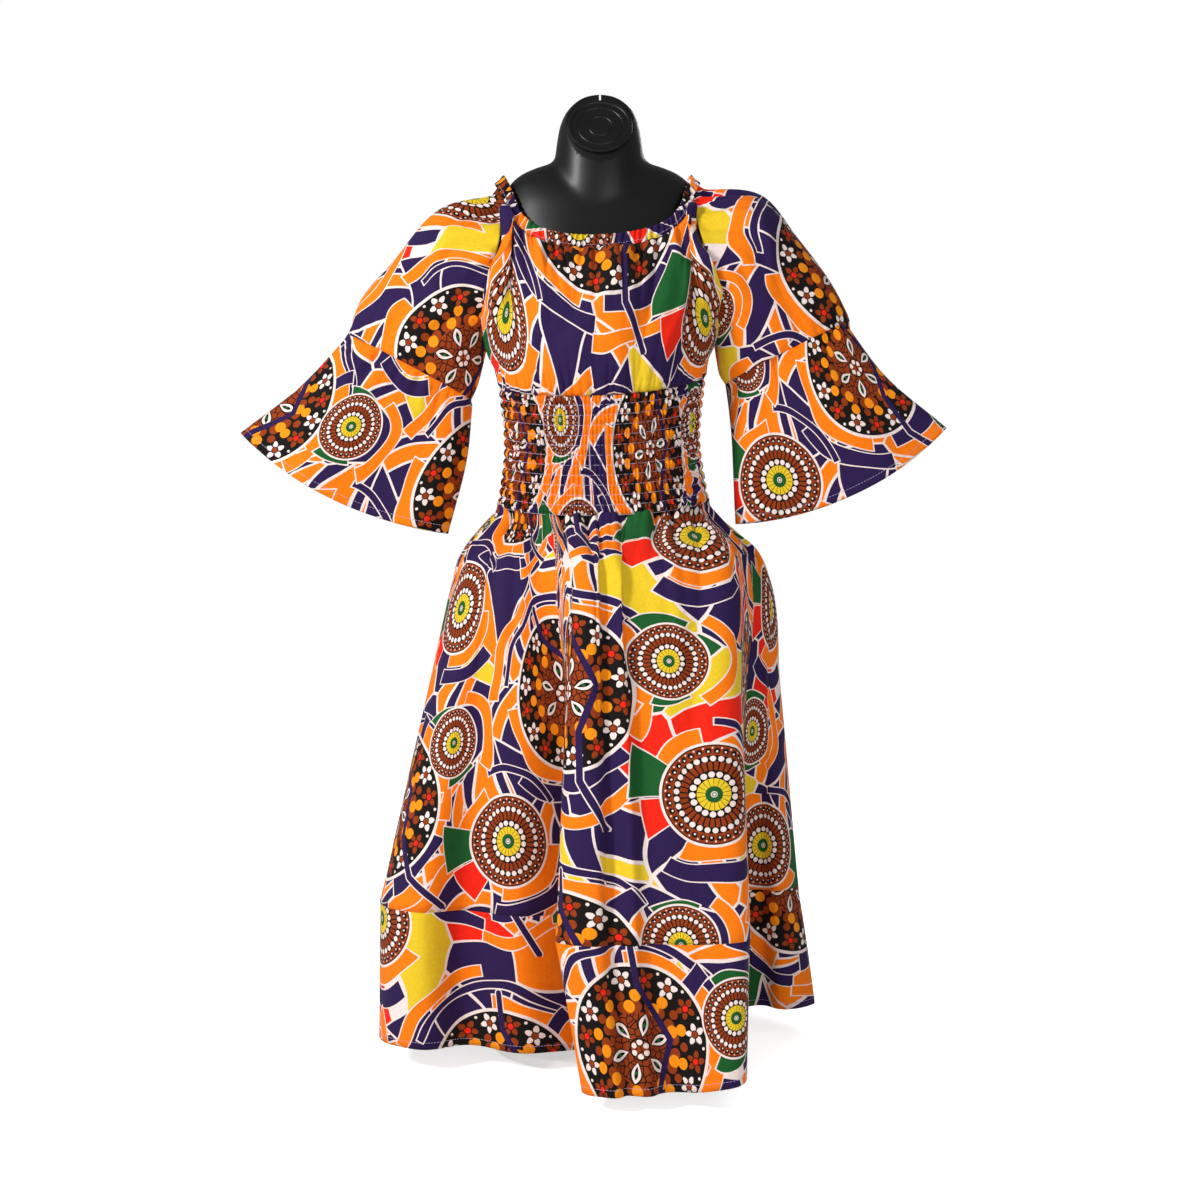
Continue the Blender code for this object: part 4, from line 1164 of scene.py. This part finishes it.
Neck = namedtuple("Neck", "name x y z steps")
NECKLINE = [
    Neck("left shoulder", -0.1300, 0.000, 1.2130, 3),
    Neck("left armhole, front", -0.1170, -0.034, 1.1820, 1),
    Neck("left corner", -0.1065, -0.050, 1.1540, 2),
    Neck("left bend", -0.0850, -0.063, 1.1335, 2),
    Neck("left of centre", -0.0470, -0.073, 1.1205, 2),
    Neck("centre front", 0.0000, -0.077, 1.1180, 2),
    Neck("right of centre", 0.0440, -0.074, 1.1230, 2),
    Neck("right bend", 0.0820, -0.064, 1.1365, 2),
    Neck("right corner", 0.1040, -0.050, 1.1570, 1),
    Neck("right armhole, front", 0.1140, -0.034, 1.1850, 3),
    Neck("right shoulder", 0.1225, 0.000, 1.2140, 3),
    Neck("right armhole, back", 0.1120, 0.036, 1.1960, 3),
    Neck("right back", 0.0700, 0.070, 1.1620, 4),
    Neck("centre back", 0.0000, 0.080, 1.1520, 4),
    Neck("left back", -0.0700, 0.070, 1.1620, 3),
    Neck("left armhole, back", -0.1150, 0.036, 1.1950, 3),
]
CASING_HEIGHT = 0.018
SHOULDER_LEAN = 1.1
NECK_SPLIT = 12
CASING_ROWS = 8
CASING_FULLNESS = 1.35
CASING_RIPPLE = 0.0084    # from one gather to the next
CASING_RELIEF = 0.0036
CASING_BELLY = 0.0010


def neck_edges(split):
    """The casing's top and bottom edge, as two loops of the same number of points."""
    rows = [Vector((row.x, row.y, row.z)) for row in NECKLINE]
    steps = [row.steps * split for row in NECKLINE]
    top = smooth_line(rows + rows[:1], steps, before=rows[-1], after=rows[1])[:-1]
    lowest = min(point.z for point in top)
    height = max(point.z for point in top) - lowest
    bottom = []
    for point in top:
        lean = SHOULDER_LEAN * (point.z - lowest) / height
        outward = Vector((point.x, point.y, 0)).normalized()
        down = (outward * lean - Vector((0, 0, 1))).normalized()
        bottom.append(point + down * CASING_HEIGHT)
    return top, bottom


def neck_stretch(edge, first_name, last_name):
    """The points of a casing edge from one row of the neckline table to another."""
    names = [row.name for row in NECKLINE]
    starts = [sum(row.steps for row in NECKLINE[:i]) * NECK_SPLIT for i in range(len(NECKLINE))]
    first = starts[names.index(first_name)]
    count = (starts[names.index(last_name)] - first) % len(edge)
    return [edge[(first + i) % len(edge)] for i in range(count + 1)]


top, bottom = neck_edges(NECK_SPLIT * 2)
grid = to_grid([[between(a, b, i / CASING_ROWS) for a, b in zip(top, bottom)]
                for i in range(CASING_ROWS + 1)])
arc = np.tile(distance_along(grid[:1], 1)[0], (grid.shape[0], 1))
down = np.tile(np.linspace(0, 1, grid.shape[0])[:, None], (1, grid.shape[1]))
rng = np.random.default_rng(41)
length = arc.max() + np.linalg.norm(grid[0, 0] - grid[0, -1])
count = int(length / CASING_RIPPLE)
peaks = np.concatenate([[0], np.cumsum(rng.uniform(0.7, 1.3, count))])
peaks *= length / peaks[-1]
phase = np.interp(arc, peaks, np.arange(count + 1)) * math.tau
ripple = 0.5 + 0.5 * np.cos(phase + 1.4 * (down - 0.5))
lift = CASING_RELIEF * ripple * (0.5 + 0.5 * np.abs(np.cos(math.pi * down)))
lift = lift + CASING_BELLY * np.sin(math.pi * down)
normals = surface_normals(grid, True)
if (normals[0, 0] @ np.array([-1.0, 0.0, 0.2])) < 0:
    normals = -normals
grid = grid + normals * lift[..., None]
casing = sewn_piece("neck_casing_cloth", "neck_casing", grid, arc * CASING_FULLNESS + 0.05,
                    grid[..., 2] + 0.02, closed=True)
closed_stitches("casing_stitches", grid[-3], normals[-3])

# ================================================================ bodice
# Front and back panels, gathered into the casing above and into the waist band below.
# They join each other under the arms and the sleeves along the armholes.

BODICE_ROWS = 60
FRONT_FULLNESS = 0.028
BACK_FULLNESS = 0.016
BODICE_GATHER = 1.15
Armhole = namedtuple("Armhole", "place x y z")
ARMHOLES = {
    "left": [
        Armhole("back middle", -0.1390, 0.064, 1.100),
        Armhole("back low", -0.1450, 0.046, 1.028),
        Armhole("underarm", -0.1480, 0.000, 0.997),
        Armhole("front low", -0.1450, -0.047, 1.024),
        Armhole("front middle", -0.1380, -0.066, 1.092),
    ],
    "right": [
        Armhole("back middle", 0.1400, 0.064, 1.108),
        Armhole("back low", 0.1470, 0.046, 1.044),
        Armhole("underarm", 0.1500, 0.000, 1.016),
        Armhole("front low", 0.1470, -0.047, 1.040),
        Armhole("front middle", 0.1390, -0.066, 1.100),
    ],
}
BODICE_CREASES = {
    "front": [
        Crease("bust fall left", 0.330, 0.86, 0.300, 0.20, 0.010, 0.0060),
        Crease("bust hollow left", 0.400, 0.92, 0.390, 0.25, 0.012, -0.0050),
        Crease("centre fall", 0.500, 0.95, 0.480, 0.35, 0.011, 0.0055),
        Crease("centre hollow", 0.560, 0.93, 0.580, 0.20, 0.012, -0.0050),
        Crease("bust fall right", 0.640, 0.88, 0.680, 0.18, 0.010, 0.0060),
        Crease("armhole drag left", 0.190, 0.80, 0.120, 0.30, 0.008, 0.0050),
        Crease("armhole drag right", 0.810, 0.82, 0.870, 0.28, 0.008, 0.0050),
        Crease("side ruck left", 0.080, 0.50, 0.160, 0.10, 0.008, -0.0040),
        Crease("side ruck right", 0.930, 0.48, 0.850, 0.12, 0.008, -0.0040),
    ],
    "back": [
        Crease("back fall left", 0.660, 0.90, 0.690, 0.20, 0.011, 0.0050),
        Crease("back hollow", 0.500, 0.92, 0.520, 0.22, 0.014, -0.0045),
        Crease("back fall right", 0.340, 0.88, 0.320, 0.24, 0.011, 0.0050),
        Crease("armhole drag right", 0.190, 0.80, 0.120, 0.30, 0.008, 0.0045),
        Crease("armhole drag left", 0.810, 0.82, 0.870, 0.28, 0.008, 0.0045),
    ],
}
BODICE_PRINT = {"front": Print(LARGE_SUN, 0.120, 0.088, 0), "back": Print(FLOWERED, 0.330, 0.120, 6)}


def armhole_side(side, face, edge):
    """The armhole seam from the underarm up to the casing, on the front or the back."""
    corner = neck_stretch(edge, f"{side} armhole, {face}", f"{side} armhole, {face}")[0]
    seam = [Vector((row.x, row.y, row.z)) for row in ARMHOLES[side]]
    if face == "back":
        seam.reverse()
    return smooth_line([seam[2], seam[3], seam[4], corner], [3 * NECK_SPLIT] * 3, before=seam[1])


BODICE_NECK_FINE = Gathers(0.0130, 0.0115, 0.045, 1.0)
BODICE_NECK_LONG = Gathers(0.0300, 0.0120, 0.120, 1.15)
BODICE_WAIST = Gathers(0.0110, 0.0065, 0.030, 1.0)
neck_bottom = neck_edges(NECK_SPLIT)[1]
for face, start_deg, fullness, first_side, last_side in (
    ("front", 180, FRONT_FULLNESS, "left", "right"),
    ("back", 0, BACK_FULLNESS, "right", "left"),
):
    neck_run = neck_stretch(neck_bottom, f"{first_side} armhole, {face}", f"{last_side} armhole, {face}")
    first_armhole = armhole_side(first_side, face, neck_bottom)
    last_armhole = armhole_side(last_side, face, neck_bottom)
    upper = first_armhole[:-1] + neck_run + last_armhole[-2::-1]
    count = len(upper) - 1
    degrees = [start_deg + 180 * i / count for i in range(count + 1)]
    lower = [ring_point(WAIST_TOP, angle) for angle in degrees]
    rows = []
    for k in range(BODICE_ROWS + 1):
        share = 1 - k / BODICE_ROWS
        row = []
        for low, high, angle in zip(lower, upper, degrees):
            turn = math.radians(angle)
            outward = Vector((0.35 * math.cos(turn), math.sin(turn), 0))
            swell = fullness * abs(math.sin(turn)) ** 1.5 * math.sin(math.pi * share ** 0.8)
            row.append(between(low, high, share) + outward * swell)
        rows.append(row)
    grid = to_grid(rows)
    middle = distance_along(grid[BODICE_ROWS // 2:BODICE_ROWS // 2 + 1], 1)[0]
    u = np.tile(middle, (grid.shape[0], 1))
    fallen = distance_along(grid, 0)
    risen = fallen[-1] - fallen
    neck_share = np.zeros(count + 1)
    neck_share[len(first_armhole):count - len(first_armhole) + 1] = 1.0
    neck_share = np.convolve(neck_share, np.ones(17) / 17, mode="same")[None, :]
    rng = random.Random(51 if face == "front" else 52)
    lift = gather(u, fallen, rng, BODICE_NECK_FINE, u.max()) * (0.12 + 0.88 * neck_share)
    lift += gather(u, fallen, rng, BODICE_NECK_LONG, u.max()) * (0.10 + 0.90 * neck_share)
    lift += gather(u, risen, rng, BODICE_WAIST, u.max())
    lift += crease(u, risen / risen.max(), BODICE_CREASES[face])
    lift -= 0.9 * lift.min(axis=1, keepdims=True)
    lift *= np.clip(np.minimum(u, u.max() - u) / 0.015, 0, 1)
    lift *= 0.3 + 0.7 * np.clip(np.minimum(fallen, risen) / 0.008, 0, 1)
    grid = grid + surface_normals(grid) * lift[..., None]
    level_rise = np.broadcast_to(risen.mean(axis=1)[:, None], u.shape)
    print_u, print_v = lay_print(u * BODICE_GATHER, level_rise, BODICE_PRINT[face])
    bodice = sewn_piece(f"bodice_{face}_cloth", f"bodice_{face}", grid, print_u, print_v)

# ================================================================ sleeves
# Raglan sleeves puffed at the shoulder: the top is gathered into the casing, the lower edge
# into the elbow seam. They hang spread out to the sides, a little flattened.

Section = namedtuple("Section", "place outer_x outer_z inner_x inner_z half_depth bow")
SLEEVES = {
    "left": [
        Section("quarter", -0.217, 1.172, -0.1560, 0.978, 0.066, 0.000),
        Section("half", -0.286, 1.092, -0.1620, 0.952, 0.057, 0.000),
        Section("four fifths", -0.326, 1.045, -0.1710, 0.921, 0.045, 0.000),
        Section("elbow seam", -0.348, 0.996, -0.1780, 0.906, 0.038, 0.000),
    ],
    "right": [
        Section("quarter", 0.225, 1.187, 0.1570, 0.990, 0.066, 0.000),
        Section("half", 0.271, 1.130, 0.1610, 0.962, 0.057, 0.000),
        Section("four fifths", 0.321, 1.059, 0.1670, 0.937, 0.045, 0.000),
        Section("elbow seam", 0.344, 1.014, 0.1730, 0.928, 0.038, 0.000),
    ],
}
SLEEVE_STEPS = [20, 14, 12, 10]
SLEEVE_CREASES = {
    "left": [
        Crease("cap fold", 0.200, 0.98, 0.215, 0.45, 0.012, 0.0070),
        Crease("armhole fold", 0.130, 0.92, 0.170, 0.35, 0.011, 0.0065),
        Crease("armhole hollow", 0.165, 0.95, 0.190, 0.40, 0.010, -0.0060),
        Crease("outer drag", 0.320, 0.90, 0.260, 0.30, 0.012, 0.0055),
        Crease("elbow ruck", 0.120, 0.40, 0.230, 0.06, 0.010, -0.0050),
        Crease("back cap fold", 0.780, 0.96, 0.760, 0.40, 0.012, 0.0065),
        Crease("back hollow", 0.850, 0.92, 0.800, 0.30, 0.012, -0.0055),
        Crease("back drag", 0.680, 0.86, 0.740, 0.22, 0.012, 0.0055),
    ],
    "right": [
        Crease("cap fold", 0.215, 0.98, 0.205, 0.50, 0.012, 0.0070),
        Crease("armhole fold", 0.120, 0.90, 0.180, 0.30, 0.012, 0.0060),
        Crease("armhole hollow", 0.160, 0.96, 0.180, 0.46, 0.010, -0.0065),
        Crease("outer drag", 0.340, 0.86, 0.270, 0.26, 0.012, 0.0055),
        Crease("elbow ruck", 0.110, 0.34, 0.210, 0.05, 0.010, -0.0050),
        Crease("back cap fold", 0.800, 0.95, 0.770, 0.44, 0.012, 0.0065),
        Crease("back hollow", 0.860, 0.90, 0.790, 0.34, 0.012, -0.0055),
        Crease("back drag", 0.700, 0.84, 0.750, 0.20, 0.012, 0.0050),
    ],
}
SLEEVE_NECK_FINE = Gathers(0.0150, 0.0110, 0.045, 1.0)
SLEEVE_NECK_LONG = Gathers(0.0360, 0.0160, 0.130, 1.15)
SLEEVE_ELBOW = Gathers(0.0180, 0.0045, 0.022, 1.15)
ARMHOLE_SET_OUT = 0.0011
SLEEVE_PRINT = {"left": Print(FLOWERED, -0.058, 0.044, 0), "right": Print(FLOWERED, 0.276, 0.071, 0)}


def section_point(section, degrees, depth_share=1.0):
    """A point of a sleeve's section: 0 degrees at its outer edge, 90 in front."""
    angle = math.radians(degrees)
    outer = Vector((section.outer_x, 0, section.outer_z))
    inner = Vector((section.inner_x, 0, section.inner_z))
    half = (outer - inner) / 2
    hang = half.cross(Vector((0, 1, 0))).normalized()
    if hang.z > 0:
        hang.negate()
    point = between(outer, inner, 0.5) + half * math.cos(angle)
    point += Vector((0, -1, 0)) * section.half_depth * depth_share * math.sin(angle)
    return point + hang * section.bow * math.sin(angle) ** 2


def facing_out(grid, normals):
    """Turn a tube's normals away from its own middle line."""
    middle = grid.mean(axis=1, keepdims=True)
    if ((grid - middle) * normals).sum() < 0:
        return -normals
    return normals


for side, outward in (("left", -1), ("right", 1)):
    front = armhole_side(side, "front", neck_bottom)
    back = armhole_side(side, "back", neck_bottom)
    if side == "left":
        shoulder = neck_stretch(neck_bottom, "left armhole, back", "left armhole, front")[::-1]
    else:
        shoulder = neck_stretch(neck_bottom, "right armhole, front", "right armhole, back")
    seam = front[:-1] + shoulder + back[-2:0:-1]
    count = len(seam)
    low = min(point.z for point in seam)
    high = max(point.z for point in seam)
    columns = []
    for i, point in enumerate(seam):
        lowness = (high - point.z) / (high - low)
        start = point + Vector((outward, 0, 0)) * ARMHOLE_SET_OUT * lowness
        route = [start] + [section_point(section, 180 - 360 * i / count) for section in SLEEVES[side]]
        columns.append(smooth_line(route, SLEEVE_STEPS))
    grid = to_grid(zip(*columns))
    girth = round_closed(grid[SLEEVE_STEPS[0]])
    u = np.tile(girth[:-1], (grid.shape[0], 1))
    fallen = distance_along(grid, 0)
    risen = fallen[-1] - fallen
    angle = np.array([180 - 360 * i / count for i in range(count)])
    cap = np.exp(-(angle / 62) ** 4)[None, :]
    rng = random.Random(61 if side == "left" else 62)
    lift = gather(u, fallen, rng, SLEEVE_NECK_FINE, girth[-1]) * (0.12 + 0.88 * cap)
    lift += gather(u, fallen, rng, SLEEVE_NECK_LONG, girth[-1]) * (0.30 + 0.70 * cap)
    lift += gather(u, risen, rng, SLEEVE_ELBOW, girth[-1])
    lift += crease(u, risen / risen.max(), SLEEVE_CREASES[side])
    under = np.clip((np.abs(angle) - 118) / 40, 0, 1)[None, :]
    lift = (lift - lift.mean()) * (1 - 0.85 * under)
    lift *= 0.2 + 0.8 * np.clip(np.minimum(fallen, risen) / 0.010, 0, 1)
    grid = grid + facing_out(grid, surface_normals(grid, True)) * lift[..., None]
    print_u, print_v = lay_print(u * outward, risen, SLEEVE_PRINT[side])
    sleeve = sewn_piece(f"sleeve_{side}_cloth", f"sleeve_{side}", grid, print_u, print_v, closed=True)

# ================================================================ sleeve flounces
# A wide band gathered into each elbow seam, flaring to a turned and stitched hem.
# Their cloth is cut like the skirt's tier, from one strip across the width.

FLOUNCES = {
    "left": [
        Section("elbow seam", -0.348, 0.996, -0.1780, 0.906, 0.038, 0.000),
        Section("middle", -0.408, 0.928, -0.1840, 0.836, 0.040, 0.010),
        Section("hem", -0.494, 0.859, -0.2120, 0.722, 0.034, 0.026),
    ],
    "right": [
        Section("elbow seam", 0.344, 1.014, 0.1730, 0.928, 0.038, 0.000),
        Section("middle", 0.395, 0.939, 0.1830, 0.850, 0.040, 0.012),
        Section("hem", 0.476, 0.866, 0.1900, 0.735, 0.034, 0.030),
    ],
}
FLOUNCE_COLUMNS = 224
FLOUNCE_WAVES = 5
FLOUNCE_WAVE_HEIGHT = 0.007
FLOUNCE_FINE = Gathers(0.0230, 0.0055, 0.035, 1.15)
FLOUNCE_LONG = Gathers(0.0600, 0.0070, 0.120, 1.15)
FLOUNCE_STEPS = [18, 24]
GROOVE_DEPTH, GROOVE_WIDTH = 0.0007, 0.0022     # pressed in by the hem's stitches
FLOUNCE_PRINT = {"left": Print(FLOWERED, -0.349, 0.062, 0), "right": Print(LARGE_SUN, 0.076, 0.051, 10)}
for side, outward in (("left", -1), ("right", 1)):
    seam, middle, hem = FLOUNCES[side]
    columns = []
    for i in range(FLOUNCE_COLUMNS):
        angle = 180 - 360 * i / FLOUNCE_COLUMNS
        wave = FLOUNCE_WAVE_HEIGHT * math.cos(math.radians(angle * FLOUNCE_WAVES))
        route = [
            section_point(seam, angle),
            section_point(middle, angle, 1 + 0.6 * wave / middle.half_depth),
            section_point(hem, angle, 1 + wave / hem.half_depth),
        ]
        columns.append(smooth_line(route, FLOUNCE_STEPS))
    grid = to_grid(zip(*columns))
    girth = round_closed(grid[-1])
    u = np.tile(girth[:-1], (grid.shape[0], 1))
    fallen = distance_along(grid, 0)
    risen = fallen[-1] - fallen
    rng = random.Random(71 if side == "left" else 72)
    lift = gather(u, fallen, rng, FLOUNCE_FINE, girth[-1])
    lift += gather(u, fallen, rng, FLOUNCE_LONG, girth[-1])
    lift -= lift.mean()
    lift *= np.clip(fallen / 0.008, 0.1, 1)
    lift -= GROOVE_DEPTH * np.exp(-((risen - TURN_UP) / GROOVE_WIDTH) ** 2)
    normals = facing_out(grid, surface_normals(grid, True))
    grid = grid + normals * lift[..., None]
    print_u, print_v = lay_print(u * outward, risen, FLOUNCE_PRINT[side])
    flounce = sewn_piece(f"sleeve_flounce_{side}_cloth", f"sleeve_flounce_{side}", grid, print_u, print_v,
                         closed=True)
    row = hem_row(fallen.mean(axis=1))
    closed_stitches(f"flounce_stitches_{side}", grid[row], normals[row])


# ================================================================ floor, light and camera
# A plain white floor under an even white sky, a key lamp from the upper left, a weak fill
# and one lamp behind.


def backdrop_white(name):
    """Matt white paper, lit a little from within so that it meets the sky without a line."""
    finish, board, shader = new_material(name, (0.88, 0.88, 0.88), 0.9)
    seen = board.add("ShaderNodeLightPath").outputs["Is Camera Ray"]
    shader.inputs["Emission Color"].default_value = (1.0, 1.0, 1.0, 1.0)
    board.feed(shader.inputs["Emission Strength"], board.math("MULTIPLY", seen, 0.74))
    return finish


floor_mesh = bpy.data.meshes.new("floor")
floor_mesh.from_pydata([(-9, -6, 0), (9, -6, 0), (9, 9, 0), (-9, 9, 0)], [], [(0, 1, 2, 3)])
floor = add_object("floor", floor_mesh, backdrop_white("backdrop_white"))
floor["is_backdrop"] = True

world = bpy.data.worlds.new("studio")
bpy.context.scene.world = world
world.use_nodes = True
sky = world.node_tree.nodes["Background"]
sky.inputs["Color"].default_value = (1.0, 1.0, 1.0, 1.0)
sky_board = Board(world.node_tree)
seen = sky_board.add("ShaderNodeLightPath").outputs["Is Camera Ray"]
sky_board.feed(sky.inputs["Strength"], sky_board.math("MULTIPLY_ADD", seen, 0.70, 0.30))
bpy.context.scene.view_settings.view_transform = "Standard"

Lamp = namedtuple("Lamp", "name place aim size power")
for lamp in (
    Lamp("key_lamp", Vector((-2.3, -1.9, 2.1)), Vector((0, 0, 0.7)), 0.5, 88),
    Lamp("fill_lamp", Vector((0.9, -2.9, 1.1)), Vector((0, 0, 0.7)), 1.2, 22),
    Lamp("back_lamp", Vector((1.2, 2.8, 2.0)), Vector((0, 0, 0.7)), 1.2, 40),
):
    light = bpy.data.lights.new(lamp.name, "AREA")
    light.energy = lamp.power
    light.size = lamp.size
    holder = bpy.data.objects.new(lamp.name, light)
    bpy.context.scene.collection.objects.link(holder)
    holder.location = lamp.place
    holder.rotation_euler = (lamp.aim - lamp.place).to_track_quat("-Z", "Y").to_euler()

camera = bpy.data.cameras.new("camera")
camera.lens = 52.2
camera.sensor_width = 36
camera_holder = bpy.data.objects.new("camera", camera)
bpy.context.scene.collection.objects.link(camera_holder)
camera_holder.location = (0, -2.40, 0.63)
camera_holder.rotation_euler = (math.radians(90), 0, 0)
bpy.context.scene.camera = camera_holder

# ================================================================ sizes, and the end
low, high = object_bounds()
